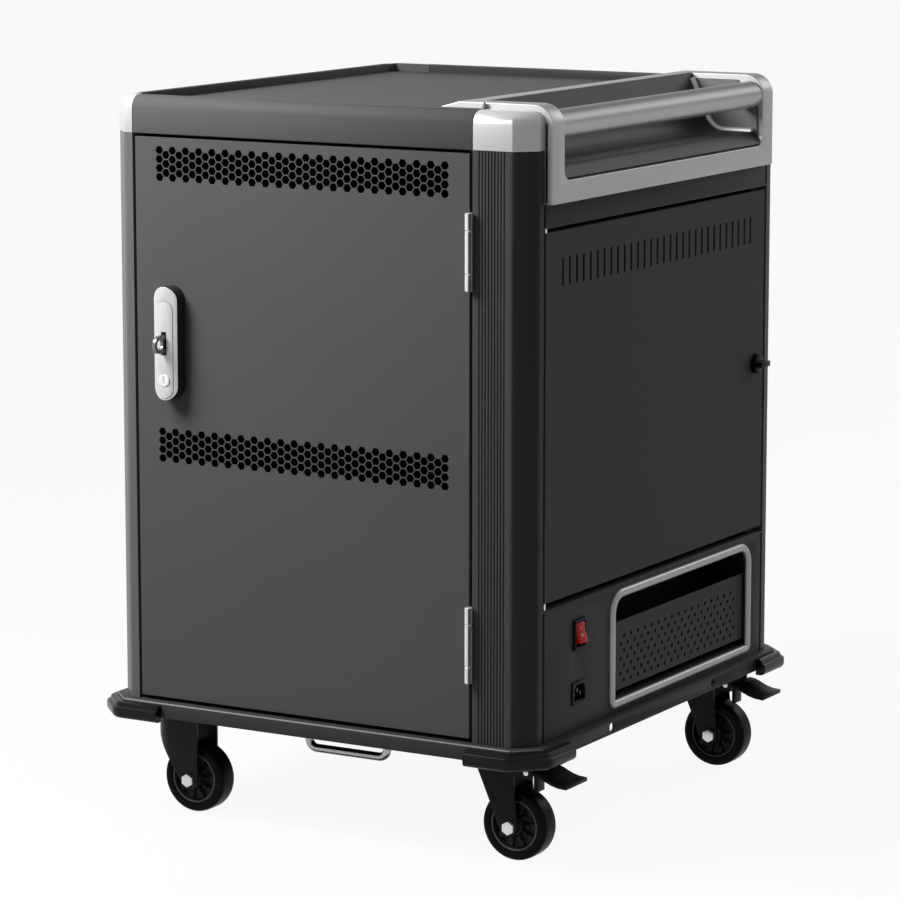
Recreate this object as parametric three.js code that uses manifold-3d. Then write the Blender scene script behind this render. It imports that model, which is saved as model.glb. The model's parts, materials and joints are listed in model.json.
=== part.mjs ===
// Laptop charging cart: a steel cabinet on casters with a front, a rear and a side service door.
// Millimetres. +X is the push handle's side, -Y the front, +Z up.

import * as THREE from 'three';
import { mergeVertices } from 'three/addons/utils/BufferGeometryUtils.js';
import Module from 'manifold-3d';

const wasm = await Module();
wasm.setup();

// Overall sizes
const BODY_WIDTH = 506;
const BODY_DEPTH = 577;
const DOOR_HEIGHT = 600;
const CORNER_CHAMFER = 19.5;
const FIT_GAP = 0.3;

// Levels, from the floor upwards
const WHEEL_DIAMETER = 75;
const CASTER_HEADROOM = 39.5;
const BASE_HEIGHT = 16.5;
const SILL_GAP = 4.5;
const HEAD_GAP = 3.5;
const COVER_HEIGHT = 39.5;
const TRAY_DEPTH = 9;

// Base frame and its corner bumpers
const BASE_OVERHANG = 10;
const BASE_SHEET = 3;
const BASE_SKIRT = 2.5;
const SKIRT_HOLE_DIAMETER = 8.5;
const SKIRT_HOLE_RISE = 8.2;
const SKIRT_HOLE_FROM_FRONT = 165.5;
const SKIRT_HOLE_SPACING = 240;
const BUMPER_PROUD = 12;
const BUMPER_LEG = 87;
const BUMPER_HEIGHT = 18;
const BUMPER_DROP = 4;
const BUMPER_ROUND = 3;

// Corner posts, seen in plan: the wide ones have grooves down their front
const POST_WIDE = 65;
const POST_NARROW = 29.5;
const POST_SIDE = 30.5;
const POST_SKIN = 3;
const POST_DOOR_JAMB = 22;
const POST_SIDE_JAMB = 16;
const GROOVE_COUNT = 9;
const GROOVE_PITCH = 3.6;
const GROOVE_WIDTH = 1.8;
const GROOVE_DEPTH = 1;
const GROOVE_START = 28.5;

// Top cover with its tray, and the corner caps
const COVER_ROUND = 13;
const COVER_ROUND_STEPS = 4;
const COVER_RIM = 20;
const COVER_INNER_RIM = 4;
const COVER_SHEET = 3;
const CAP_SIDE = 33.7;

// Push handle
const HANDLE_WIDTH = 122;
const HANDLE_PROUD = 8;
const HANDLE_RISE = 6;
const HANDLE_APRON = 54.5;
const HANDLE_ROUND = 22;
const HANDLE_SLOPE = 22;
const HANDLE_BRACKET = 25;
const HANDLE_WALL = 12;
const SCOOP_TOP_INSET = 80;
const SCOOP_FOOT_INSET = 50;
const SCOOP_DEPTH = 62;
const SCOOP_CORNER = 16;
const SCOOP_LIP = 13;
const SCOOP_BEND_STEPS = 12;
const WINDOW_ROUND = 12;
const LINER_SHEET = 2;
const LINER_RIM = 6;
const BAR_DIAMETER = 30;
const BAR_INSET = 8;
const BAR_DROP = 22;

// Cabinet doors
const DOOR_GAP = 3.6;
const DOOR_SHEET = 1.5;
const DOOR_RETURN = 18;
const HINGE_HEIGHT = 79;
const HINGE_INSET = 59;
const HINGE_END_KNUCKLE = 17.5;
const HINGE_RADIUS = 4;
const HINGE_PIN_RADIUS = 2;
const HINGE_PIN_PLAY = 0.4;
const HINGE_PROUD = 4.5;
const HINGE_SHEET = 1.2;
const HINGE_LEAF = 14;
const KNUCKLE_GAP = 0.4;

// Swing-handle lock on each cabinet door
const LOCK_WIDTH = 29;
const LOCK_HEIGHT = 120;
const LOCK_THICKNESS = 18.5;
const LOCK_CROWN = 3.8;
const LOCK_CROWN_STEPS = 12;
const LOCK_INSET = 46;
const LOCK_CENTRE = 385.5;
const LOCK_FLOOR = 2.4;
const LEVER_WIDTH = 20;
const LEVER_LENGTH = 103;
const LEVER_DROP = 6.5;
const LEVER_THICKNESS = 10.4;
const LEVER_PROUD = 0.6;
const LEVER_PLAY = 0.4;
const STAPLE_THICKNESS = 4;
const STAPLE_HEIGHT = 19;
const STAPLE_PROUD = 19;
const STAPLE_HOLE = 11;
const STAPLE_WINDOW_PLAY = 1.4;
const STAPLE_WINDOW_MARGIN = 3;
const CYLINDER_DIAMETER = 13.4;
const CYLINDER_PLAY = 0.4;
const CYLINDER_INSET = 19.2;
const CYLINDER_PROUD = 1.2;
const KEY_SLOT_WIDTH = 1.6;
const KEY_SLOT_HEIGHT = 8;
const KEY_SLOT_DEPTH = 1.5;

// Right side panel and its service door
const PANEL_SHEET = 2;
const SIDE_GAP = 4.5;
const SIDE_SILL = 138;
const SERVICE_SILL_GAP = 8;
const SERVICE_HEAD_GAP = 4.5;
const SIDE_HEADER = 24;
const STILE_RECESS = 10;
const STILE_WIDTH = 19;
const SERVICE_RETURN = 6;
const SERVICE_PIN_RADIUS = 2.5;
const SERVICE_PIN_INSET = 4;
const SERVICE_PIN_DEPTH = 3;
const SERVICE_PIN_PLAY = 0.4;
const SLOT_COUNT = 30;
const SLOT_PITCH = 15;
const SLOT_WIDTH = 4;
const SLOT_HEIGHT = 30;
const SLOT_DROP = 27;
const TURN_INSET = 21;
const TURN_HEIGHT = 186;
const TURN_DISC = 22;
const TURN_DISC_THICKNESS = 6;
const TURN_WING = 6;
const TURN_WING_DEPTH = 8;
const TURN_SPINDLE = 10;
const TURN_PLAY = 0.4;
const CAM_POST_CLEARANCE = 1.5;
const CAM_WIDTH = 10;
const CAM_SHEET = 2;
const CAM_CLEARANCE = 1;

// Rocker switch, power inlet and storage pocket, placed from the panel's front and lower edges
const SWITCH_FROM_FRONT = 73;
const SWITCH_HEIGHT = 102;
const BEZEL_WIDTH = 26;
const BEZEL_HEIGHT = 32;
const BEZEL_PROUD = 3.5;
const BEZEL_FLANGE = 2;
const BEZEL_WALL = 1.4;
const BEZEL_DEPTH = 22;
const ROCKER_PLAY = 0.5;
const ROCKER_HEIGHT = 22;
const ROCKER_POCKET = 26.4;
const ROCKER_DEPTH = 12;
const ROCKER_DISH = 1.5;
const ROCKER_FACE = 5.5;
const ROCKER_PIVOT = -2;
const ROCKER_TILT = 13;
const INLET_FROM_FRONT = 73;
const INLET_HEIGHT = 40;
const INLET_WIDTH = 31;
const INLET_TALL = 24;
const INLET_PROUD = 2;
const INLET_FLANGE = 2;
const INLET_WALL = 1.3;
const INLET_DEPTH = 24;
const INLET_CUP = 17;
const INLET_CORNER = 5;
const INLET_PIN_PITCH = 7;
const INLET_PIN_WIDTH = 4;
const INLET_PIN_SHEET = 2;
const INLET_PIN_LENGTH = 14;
const POCKET_FROM_REAR = 29;
const POCKET_ABOVE_BASE = 6;
const POCKET_WIDTH = 336;
const POCKET_HEIGHT = 127;
const POCKET_TOP_ROUND = 25;
const POCKET_FOOT_ROUND = 8;
const TRIM_WIDTH = 9;
const TRIM_PROUD = 4.5;
const TRIM_ROUND = 3;
const BIN_DEPTH = 56;
const BIN_SHEET = 1.5;
const BIN_FRONT_RECESS = 3;
const BIN_FRONT_FOOT = 7.5;
const BIN_FRONT_HEIGHT = 74;

// Wire pull under the base
const PULL_WIDTH = 97;
const PULL_ROD = 9;
const PULL_DROP = 34.3;
const PULL_BEND = 10;
const PULL_FROM_FRONT = 64;

// Casters
const CASTER_INSET = 56;
const RIGID_INSET = 69;
const SWIVEL_INSET = 65;
const SWIVEL_TRAIL = 25;
const WHEEL_WIDTH = 26;
const WHEEL_SIDES = 24;
const TYRE_THICKNESS = 9;
const TYRE_SHOULDER = 5;
const HUB_RADIUS = 10;
const HUB_WIDTH = 30;
const WEB_WIDTH = 12;
const RIM_THICKNESS = 4;
const AXLE_RADIUS = 4;
const AXLE_PLAY = 0.4;
const BOLT_HEAD = 13;
const BOLT_HEAD_HEIGHT = 5.5;
const FORK_GAP = 36;
const FORK_SHEET = 3;
const FORK_FOOT = 11;
const PLATE_SIZE = 64;
const PLATE_SHEET = 3;
const RIGID_PLATE_LENGTH = 76;
const RIGID_LEG = 20;
const RIGID_FLANGE_CENTRE = 26;
const RIGID_FLANGE_DROP = 38;
const CROWN_BELOW_PLATE = 10;
const RACE_RADIUS = 20;
const RACE_HEIGHT = 9.2;
const KINGPIN_RADIUS = 6;
const KINGPIN_HEIGHT = 8;
const KINGPIN_PLAY = 0.5;
const CROWN_BACK = 22;
const CROWN_FRONT = 51;
const LEG_FRONT = 28;
const CHEEK_HEIGHT = 24;
const PEDAL_PIVOT_REACH = 44;
const PEDAL_PIVOT_DROP = 17;
const PEDAL_PIN_RADIUS = 2;
const PEDAL_PIN_PLAY = 0.4;
const PEDAL_BOSS = 6;
const PEDAL_SHEET = 4;
const PEDAL_CHEEK_CLEARANCE = 2;
const PEDAL_WIDTH = 46;
const PEDAL_REACH = 48;
const PEDAL_DIP = 10;
const PEDAL_PAD_REACH = 6;
const PEDAL_PAD_DROP = 23;
const PEDAL_PAD_THICKNESS = 4;

// Inside
const PARTITION_INSET = 75;
const PARTITION_SHEET = 2;
const PARTITION_DROP = 24;
const INSIDE_DOOR_CLEARANCE = 6;
const SHELF_HEIGHT = 294;
const SHELF_SHEET = 3;
const RACK_SLOTS = 8;
const RACK_DEPTH = 380;
const RACK_FROM_FRONT = 42;
const RACK_SHEET = 2;
const DIVIDER_HEIGHT = 70;
const STRIP_LENGTH = 400;
const STRIP_DEPTH = 42;
const STRIP_TALL = 45;
const STRIP_HEIGHT = 330;
const SOCKET_COUNT = 8;
const SOCKET_SIZE = 32;
const SOCKET_RECESS = 1.5;

// Planes and levels worked out from the sizes
const right = BODY_WIDTH / 2;
const left = -right;
const rear = BODY_DEPTH / 2;
const front = -rear;
const axleHeight = WHEEL_DIAMETER / 2;
const underBase = WHEEL_DIAMETER + CASTER_HEADROOM;
const baseTop = underBase + BASE_HEIGHT;
const plateTop = baseTop - BASE_SHEET - FIT_GAP;
const doorBottom = baseTop + SILL_GAP;
const doorTop = doorBottom + DOOR_HEIGHT;
const coverBottom = doorTop + HEAD_GAP;
const coverTop = coverBottom + COVER_HEIGHT;
const trayFloor = coverTop - TRAY_DEPTH;
const handleTop = coverTop + HANDLE_RISE;
const apronBottom = coverBottom - HANDLE_APRON;

// Finishes
const finish = (color, roughness, metalness) =>
  new THREE.MeshStandardMaterial({ color, roughness, metalness });
const charcoal = finish(0x35363a, 0.6, 0.3);
const postBlack = finish(0x1a1a1c, 0.45, 0.4);
const silver = finish(0xb4b5b7, 0.45, 0.3);
const scoopGrey = finish(0x4a4b4e, 0.5, 0.3);
const chrome = finish(0xd0d2d4, 0.12, 1);
const satinChrome = finish(0xc6c7c9, 0.3, 0.9);
const zinc = finish(0xc9cccf, 0.35, 0.8);
const blackPlastic = finish(0x141416, 0.45, 0);
const blackRubber = finish(0x101011, 0.7, 0);
const redPlastic = finish(0xb01820, 0.25, 0);
const trimGrey = finish(0x8f9092, 0.4, 0.5);
const innerSteel = finish(0x2b2c2f, 0.6, 0.3);

// Turns a closed geometry into a solid that can be joined and cut
function solid(geometry) {
  geometry.deleteAttribute('normal');
  geometry.deleteAttribute('uv');
  const merged = mergeVertices(geometry, 1e-4);
  const triVerts = new Uint32Array(merged.index.array);
  const vertProperties = new Float32Array(merged.attributes.position.array);
  return new wasm.Manifold(new wasm.Mesh({ numProp: 3, vertProperties, triVerts }));
}

function join(...solids) {
  return solids.flat().reduce((sum, next) => sum.add(next));
}

function cut(body, ...tools) {
  return tools.flat().reduce((rest, tool) => rest.subtract(tool), body);
}

function addPart(group, name, material, body) {
  const { vertProperties, triVerts } = body.getMesh();
  const geometry = new THREE.BufferGeometry();
  geometry.setAttribute('position', new THREE.BufferAttribute(vertProperties, 3));
  geometry.setIndex(new THREE.BufferAttribute(triVerts, 1));
  geometry.computeVertexNormals();
  const mesh = new THREE.Mesh(geometry, material);
  mesh.name = name;
  group.add(mesh);
  return mesh;
}

// A block between two values on each axis
function box([x0, x1], [y0, y1], [z0, z1]) {
  const geometry = new THREE.BoxGeometry(x1 - x0, y1 - y0, z1 - z0);
  return solid(geometry.translate((x0 + x1) / 2, (y0 + y1) / 2, (z0 + z1) / 2));
}

const shapeOf = (points) => new THREE.Shape(points.map(([a, b]) => new THREE.Vector2(a, b)));

const Y_PRISM = new THREE.Matrix4().makeRotationX(Math.PI / 2);
const X_PRISM = new THREE.Matrix4().makeBasis(
  new THREE.Vector3(0, 1, 0),
  new THREE.Vector3(0, 0, 1),
  new THREE.Vector3(1, 0, 0),
);

// An outline pushed along one axis: the outline is in XY, XZ or YZ
function prismZ(shape, [z0, z1], bevel = {}) {
  const options = { depth: z1 - z0, bevelEnabled: false, curveSegments: 6, ...bevel };
  return solid(new THREE.ExtrudeGeometry(shape, options).translate(0, 0, z0));
}

function prismY(shape, [y0, y1], curveSegments = 6) {
  const options = { depth: y1 - y0, bevelEnabled: false, curveSegments };
  return solid(new THREE.ExtrudeGeometry(shape, options).applyMatrix4(Y_PRISM).translate(0, y1, 0));
}

function prismX(shape, [x0, x1], bevel = {}) {
  const options = { depth: x1 - x0, bevelEnabled: false, curveSegments: 6, ...bevel };
  return solid(new THREE.ExtrudeGeometry(shape, options).applyMatrix4(X_PRISM).translate(x0, 0, 0));
}

// A round bar from a point along an axis, or a hexagonal one with six sides
function rod(axis, [x, y, z], length, radius, sides = 16) {
  const geometry = new THREE.CylinderGeometry(radius, radius, length, sides);
  geometry.translate(0, length / 2, 0);
  if (axis === 'x') geometry.rotateZ(-Math.PI / 2);
  if (axis === 'z') geometry.rotateX(Math.PI / 2);
  return solid(geometry.translate(x, y, z));
}

// A rectangle with its lower and upper corners rounded, centred on (a, b)
function roundedRect(a, b, width, height, footRound, topRound) {
  const shape = new THREE.Shape();
  const [a0, a1] = [a - width / 2, a + width / 2];
  const [b0, b1] = [b - height / 2, b + height / 2];
  shape.moveTo(a0 + footRound, b0);
  shape.lineTo(a1 - footRound, b0);
  shape.absarc(a1 - footRound, b0 + footRound, footRound, -Math.PI / 2, 0);
  shape.lineTo(a1, b1 - topRound);
  shape.absarc(a1 - topRound, b1 - topRound, topRound, 0, Math.PI / 2);
  shape.lineTo(a0 + topRound, b1);
  shape.absarc(a0 + topRound, b1 - topRound, topRound, Math.PI / 2, Math.PI);
  shape.lineTo(a0, b0 + footRound);
  shape.absarc(a0 + footRound, b0 + footRound, footRound, Math.PI, Math.PI * 1.5);
  return shape;
}

// An upright bar with half-round ends
const oblong = (a, b, width, height) => roundedRect(a, b, width, height, width / 2 - 0.01, width / 2 - 0.01);

// The cabinet's outline in plan, with chamfered corners, grown by an offset
function bodyOutline(offset) {
  const x = right + offset;
  const y = rear + offset;
  const c = CORNER_CHAMFER + offset * (2 - Math.SQRT2);
  return shapeOf([
    [-x, -y + c], [-x + c, -y], [x - c, -y], [x, -y + c],
    [x, y - c], [x - c, y], [-x + c, y], [-x, y - c],
  ]);
}

// Each corner: its name and the signs of its X and Y
const corners = [
  { name: 'front_right', sx: 1, sy: -1, wide: true },
  { name: 'front_left', sx: -1, sy: -1, wide: false },
  { name: 'rear_right', sx: 1, sy: 1, wide: false },
  { name: 'rear_left', sx: -1, sy: 1, wide: true },
];

// Plan points given as distances inward from a corner's side face and from its front or rear face
const cornerShape = ({ sx, sy }, points) =>
  shapeOf(points.map(([fromSide, fromFace]) => [sx * (right - fromSide), sy * (rear - fromFace)]));

function makeBase(cart) {
  const tray = prismZ(bodyOutline(BASE_OVERHANG), [underBase, baseTop]);
  const hollow = prismZ(bodyOutline(BASE_OVERHANG - BASE_SKIRT), [underBase - 1, baseTop - BASE_SHEET]);
  const skirt = [right + BASE_OVERHANG - BASE_SKIRT - 1, right + BASE_OVERHANG + 1];
  const firstHole = front + SKIRT_HOLE_FROM_FRONT;
  const skirtHoles = [firstHole, firstHole + SKIRT_HOLE_SPACING].map((y) =>
    rod('x', [skirt[0], y, underBase + SKIRT_HOLE_RISE], skirt[1] - skirt[0], SKIRT_HOLE_DIAMETER / 2));
  addPart(cart, 'base_frame', charcoal, cut(tray, hollow, skirtHoles));
}

function makeBumpers(cart) {
  const inner = BASE_OVERHANG + FIT_GAP;
  const outer = BASE_OVERHANG + BUMPER_PROUD;
  const innerChamfer = CORNER_CHAMFER + inner * (2 - Math.SQRT2) - inner;
  const outerChamfer = CORNER_CHAMFER + outer * (2 - Math.SQRT2) - outer;
  const legEnd = BUMPER_LEG - outer;
  const bottom = underBase - BUMPER_DROP;
  const edge = {
    bevelEnabled: true,
    bevelSize: BUMPER_ROUND,
    bevelThickness: BUMPER_ROUND,
    bevelOffset: -BUMPER_ROUND,
    bevelSegments: 2,
  };
  for (const corner of corners) {
    const plan = cornerShape(corner, [
      [legEnd, -outer], [outerChamfer, -outer], [-outer, outerChamfer], [-outer, legEnd],
      [-inner, legEnd], [-inner, innerChamfer], [innerChamfer, -inner], [legEnd, -inner],
    ]);
    const levels = [bottom + BUMPER_ROUND, bottom + BUMPER_HEIGHT - BUMPER_ROUND];
    addPart(cart, `bumper_${corner.name}`, blackRubber, prismZ(plan, levels, edge));
  }
}

function makePosts(cart) {
  const innerBend = CORNER_CHAMFER + POST_SKIN * (Math.SQRT2 - 1);
  for (const corner of corners) {
    const width = corner.wide ? POST_WIDE : POST_NARROW;
    const points = [[width, 0]];
    for (let i = GROOVE_COUNT - 1; corner.wide && i >= 0; i -= 1) {
      const centre = GROOVE_START + i * GROOVE_PITCH;
      points.push([centre + GROOVE_WIDTH / 2, 0], [centre, GROOVE_DEPTH], [centre - GROOVE_WIDTH / 2, 0]);
    }
    points.push(
      [CORNER_CHAMFER, 0], [0, CORNER_CHAMFER],
      [0, POST_SIDE], [POST_SIDE_JAMB, POST_SIDE],
      [POST_SIDE_JAMB, POST_SIDE - POST_SKIN], [POST_SKIN, POST_SIDE - POST_SKIN],
      [POST_SKIN, innerBend], [innerBend, POST_SKIN],
      [width - POST_SKIN, POST_SKIN], [width - POST_SKIN, POST_DOOR_JAMB], [width, POST_DOOR_JAMB],
    );
    const post = prismZ(cornerShape(corner, points), [baseTop + FIT_GAP, coverBottom - FIT_GAP]);
    addPart(cart, `post_${corner.name}`, postBlack, post);
  }
}

// The top is one rounded block, shared out between the cover and the four corner caps
function makeTop(cart) {
  const block = prismZ(bodyOutline(0), [coverBottom - COVER_ROUND, coverTop - COVER_ROUND], {
    bevelEnabled: true,
    bevelSize: COVER_ROUND,
    bevelThickness: COVER_ROUND,
    bevelOffset: -COVER_ROUND,
    bevelSegments: COVER_ROUND_STEPS,
  });
  const levels = [coverBottom, coverTop + 1];
  const handleEdge = right - HANDLE_WIDTH - FIT_GAP;
  const recess = (inset, [z0, z1]) => box(
    [left + COVER_RIM + inset, handleEdge - COVER_INNER_RIM],
    [front + COVER_RIM + inset, rear - COVER_RIM - inset],
    [z0, z1],
  );
  const well = (inset, z) => box(
    [left + COVER_RIM + inset, right - COVER_RIM - inset],
    [front + COVER_RIM + inset, rear - COVER_RIM - inset],
    z,
  );
  const capRoom = ({ sx, sy, wide }, play) => {
    const width = (wide ? POST_WIDE : POST_NARROW) + play;
    const plan = shapeOf([
      [sx * (right + 1), sy * (rear + 1)], [sx * (right - width), sy * (rear + 1)],
      [sx * (right - width), sy * (rear - CAP_SIDE - play)],
      [sx * (right + 1), sy * (rear - CAP_SIDE - play)],
    ]);
    const room = prismZ(plan, [coverBottom - play, coverTop + 1]);
    return sx < 0 ? cut(room, well(play, [coverBottom - 1, coverTop + 2])) : room;
  };
  for (const corner of corners) {
    addPart(cart, `cap_${corner.name}`, silver, block.intersect(capRoom(corner, 0)));
  }
  const handleRoom = box(
    [handleEdge, right + 1],
    [front + CAP_SIDE, rear - CAP_SIDE],
    [coverBottom - 1, coverTop + 1],
  );
  const slab = block.intersect(box([left - 1, right + 1], [front - 1, rear + 1], levels));
  const cover = cut(
    slab,
    corners.map((corner) => capRoom(corner, FIT_GAP)),
    handleRoom,
    recess(0, [trayFloor, coverTop + 1]),
    recess(0, [coverBottom - 1, trayFloor - COVER_SHEET]),
  );
  addPart(cart, 'top_cover', charcoal, cover);
}

// An open line moved sideways to its right by a distance, with its corners mitred
function offsetLine(points, distance) {
  const normals = points.slice(1).map((point, i) => {
    const [da, db] = [point[0] - points[i][0], point[1] - points[i][1]];
    const length = Math.hypot(da, db);
    return [db / length, -da / length];
  });
  return points.map(([a, b], i) => {
    const before = normals[Math.max(i - 1, 0)];
    const after = normals[Math.min(i, normals.length - 1)];
    const [ma, mb] = [before[0] + after[0], before[1] + after[1]];
    const scale = (2 * distance) / (ma * ma + mb * mb);
    return [a + ma * scale, b + mb * scale];
  });
}

// The handle's scoop in XZ, from the front lip back under the bar and up to the rail
function scoopLine() {
  const floor = handleTop - SCOOP_DEPTH;
  const foot = right - SCOOP_FOOT_INSET;
  const top = right - SCOOP_TOP_INSET;
  const slope = (top - foot) / SCOOP_DEPTH;
  const bend = new THREE.QuadraticBezierCurve(
    new THREE.Vector2(foot + SCOOP_CORNER, floor),
    new THREE.Vector2(foot, floor),
    new THREE.Vector2(foot + slope * SCOOP_CORNER, floor + SCOOP_CORNER),
  ).getPoints(SCOOP_BEND_STEPS).map(({ x, y }) => [x, y]);
  return [
    [right + HANDLE_PROUD - 0.5, floor - SCOOP_LIP],
    [right - 2, floor],
    ...bend,
    [top, handleTop],
  ];
}

function makeHandle(cart) {
  const outer = right + HANDLE_PROUD;
  const inner = right - HANDLE_WIDTH;
  const line = scoopLine();
  const under = offsetLine(line, -LINER_SHEET);
  const section = new THREE.Shape();
  section.moveTo(outer, apronBottom);
  section.lineTo(outer, handleTop - HANDLE_ROUND);
  section.absarc(outer - HANDLE_ROUND, handleTop - HANDLE_ROUND, HANDLE_ROUND, 0, Math.PI / 2);
  section.lineTo(inner + HANDLE_SLOPE, handleTop);
  section.lineTo(inner, coverTop);
  section.lineTo(inner, coverBottom);
  const floor = handleTop - SCOOP_DEPTH - HANDLE_WALL;
  section.lineTo(right - SCOOP_TOP_INSET - HANDLE_WALL, coverBottom);
  section.lineTo(right - SCOOP_FOOT_INSET - HANDLE_WALL / 2, floor);
  section.lineTo(outer - HANDLE_WALL, floor);
  section.lineTo(outer - HANDLE_WALL, apronBottom);
  const ends = [front + CAP_SIDE + FIT_GAP, rear - CAP_SIDE - FIT_GAP];
  const window = [ends[0] + HANDLE_BRACKET, ends[1] - HANDLE_BRACKET];
  const room = offsetLine(line, -LINER_SHEET - FIT_GAP);
  const [lipX, lipZ] = room[0];
  const [topX, topZ] = room[room.length - 1];
  const scoopRoom = prismY(shapeOf([
    [outer + 20, lipZ - 20], [lipX, lipZ], ...room.slice(1, -1), [topX, topZ], [topX, handleTop + 20],
    [outer + 20, handleTop + 20],
  ]), window);
  // The opening seen from the side, with its lower corners rounded
  const sideOpening = (inset) => {
    const [foot, head] = [lipZ - 1, handleTop + 20];
    const middle = (window[0] + window[1]) / 2;
    const width = window[1] - window[0] - 2 * inset;
    const outline = roundedRect(middle, (foot + head) / 2, width, head - foot, WINDOW_ROUND - inset, 1);
    return prismX(outline, [inner, outer + 21]);
  };
  const opening = scoopRoom.intersect(sideOpening(0));
  addPart(cart, 'handle_housing', silver, cut(prismY(section, ends), opening));

  // The liner: a bent sheet with a wall at each end, cut away round the bar
  const [barX, barZ] = [right - BAR_INSET, handleTop - BAR_DROP];
  const barRadius = BAR_DIAMETER / 2;
  const linerEnds = [window[0] + FIT_GAP, window[1] - FIT_GAP];
  const sheet = prismY(shapeOf([...line, ...under.reverse()]), linerEnds);
  const [wallFront, wallTop] = [outer - LINER_RIM, handleTop - LINER_RIM];
  const middleLine = offsetLine(line, -LINER_SHEET / 2);
  const [lip, floorEnd] = middleLine;
  const [bendEnd, rail] = middleLine.slice(-2);
  const wall = shapeOf([
    [wallFront, barZ],
    [wallFront, THREE.MathUtils.mapLinear(wallFront, lip[0], floorEnd[0], lip[1], floorEnd[1])],
    ...middleLine.slice(1, -1),
    [THREE.MathUtils.mapLinear(wallTop, bendEnd[1], rail[1], bendEnd[0], rail[0]), wallTop],
    [barX - barRadius, wallTop], [barX, barZ],
  ]);
  const walls = [
    prismY(wall, [linerEnds[0], linerEnds[0] + LINER_SHEET]),
    prismY(wall, [linerEnds[1] - LINER_SHEET, linerEnds[1]]),
  ];
  const barLength = linerEnds[1] - linerEnds[0];
  const bar = (radius) => rod('y', [barX, linerEnds[0], barZ], barLength, radius, 24);
  const liner = cut(join(sheet, walls), bar(barRadius + 2 * FIT_GAP)).intersect(sideOpening(FIT_GAP));
  addPart(cart, 'handle_liner', scoopGrey, liner);
  addPart(cart, 'push_bar', silver, bar(barRadius));
}

// The right side: panel edges in Y, the service door's levels, and what is let into the lower panel
const sideFront = front + POST_SIDE + SIDE_GAP;
const sideRear = rear - POST_SIDE - SIDE_GAP;
const sideSillTop = baseTop + FIT_GAP + SIDE_SILL;
const serviceBottom = sideSillTop + SERVICE_SILL_GAP;
const headerTop = apronBottom - FIT_GAP;
const headerBottom = headerTop - SIDE_HEADER;
const serviceTop = headerBottom - SERVICE_HEAD_GAP;
const pinY = sideFront + SERVICE_PIN_INSET;
const pinX = right - SERVICE_PIN_DEPTH;
const turnY = sideRear - TURN_INSET;
const turnZ = serviceBottom + TURN_HEIGHT;
const pocketY = sideRear - POCKET_FROM_REAR - POCKET_WIDTH / 2;
const pocketZ = baseTop + POCKET_ABOVE_BASE + POCKET_HEIGHT / 2;
const switchY = sideFront + SWITCH_FROM_FRONT;
const switchZ = baseTop + SWITCH_HEIGHT;
const inletY = sideFront + INLET_FROM_FRONT;
const inletZ = baseTop + INLET_HEIGHT;

// The pocket's opening inside its trim, shrunk by an inset
function pocketShape(inset) {
  const round = (radius) => Math.max(radius - inset, 1);
  return roundedRect(
    pocketY, pocketZ, POCKET_WIDTH - 2 * inset, POCKET_HEIGHT - 2 * inset,
    round(POCKET_FOOT_ROUND), round(POCKET_TOP_ROUND),
  );
}

const rectangle = (a, b, width, height) => shapeOf([
  [a - width / 2, b - height / 2], [a + width / 2, b - height / 2],
  [a + width / 2, b + height / 2], [a - width / 2, b + height / 2],
]);

function makeSidePanels(cart) {
  const skin = [right - PANEL_SHEET, right];
  const fold = [right - STILE_RECESS - PANEL_SHEET, right];
  const stile = [right - STILE_RECESS - PANEL_SHEET, right - STILE_RECESS];
  const width = [sideFront, sideRear];
  const foldWidth = [front + POST_SIDE + FIT_GAP, rear - POST_SIDE - FIT_GAP];
  const lower = box(skin, width, [baseTop + FIT_GAP, sideSillTop]);
  const header = box(skin, width, [headerBottom, headerTop]);
  const folds = [sideSillTop - PANEL_SHEET, headerBottom].map((z) =>
    box(fold, foldWidth, [z, z + PANEL_SHEET]));
  const stileLevels = [sideSillTop - PANEL_SHEET, headerBottom + PANEL_SHEET];
  const stiles = [
    box(stile, [foldWidth[0], foldWidth[0] + STILE_WIDTH], stileLevels),
    box(stile, [foldWidth[1] - STILE_WIDTH, foldWidth[1]], stileLevels),
  ];
  const through = [right - PANEL_SHEET - 1, right + 1];
  const pinHoleRadius = SERVICE_PIN_RADIUS + SERVICE_PIN_PLAY;
  const pinHoles = [sideSillTop - PANEL_SHEET - 1, headerBottom - 1].map((z) =>
    rod('z', [pinX, pinY, z], PANEL_SHEET + 2, pinHoleRadius, 12));
  const panel = cut(
    join(lower, header, folds, stiles),
    pinHoles,
    prismX(pocketShape(TRIM_WIDTH), through),
    prismX(
      rectangle(switchY, switchZ, BEZEL_WIDTH - 2 * BEZEL_FLANGE, BEZEL_HEIGHT - 2 * BEZEL_FLANGE),
      through,
    ),
    prismX(rectangle(inletY, inletZ, INLET_WIDTH - 2 * INLET_FLANGE, INLET_TALL - 2 * INLET_FLANGE), through),
  );
  addPart(cart, 'right_side_panel', charcoal, panel);

  const leftSkin = [left, left + PANEL_SHEET];
  const leftLevels = [baseTop + FIT_GAP, coverBottom - FIT_GAP];
  addPart(cart, 'left_side_panel', charcoal, box(leftSkin, foldWidth, leftLevels));
}

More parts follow.
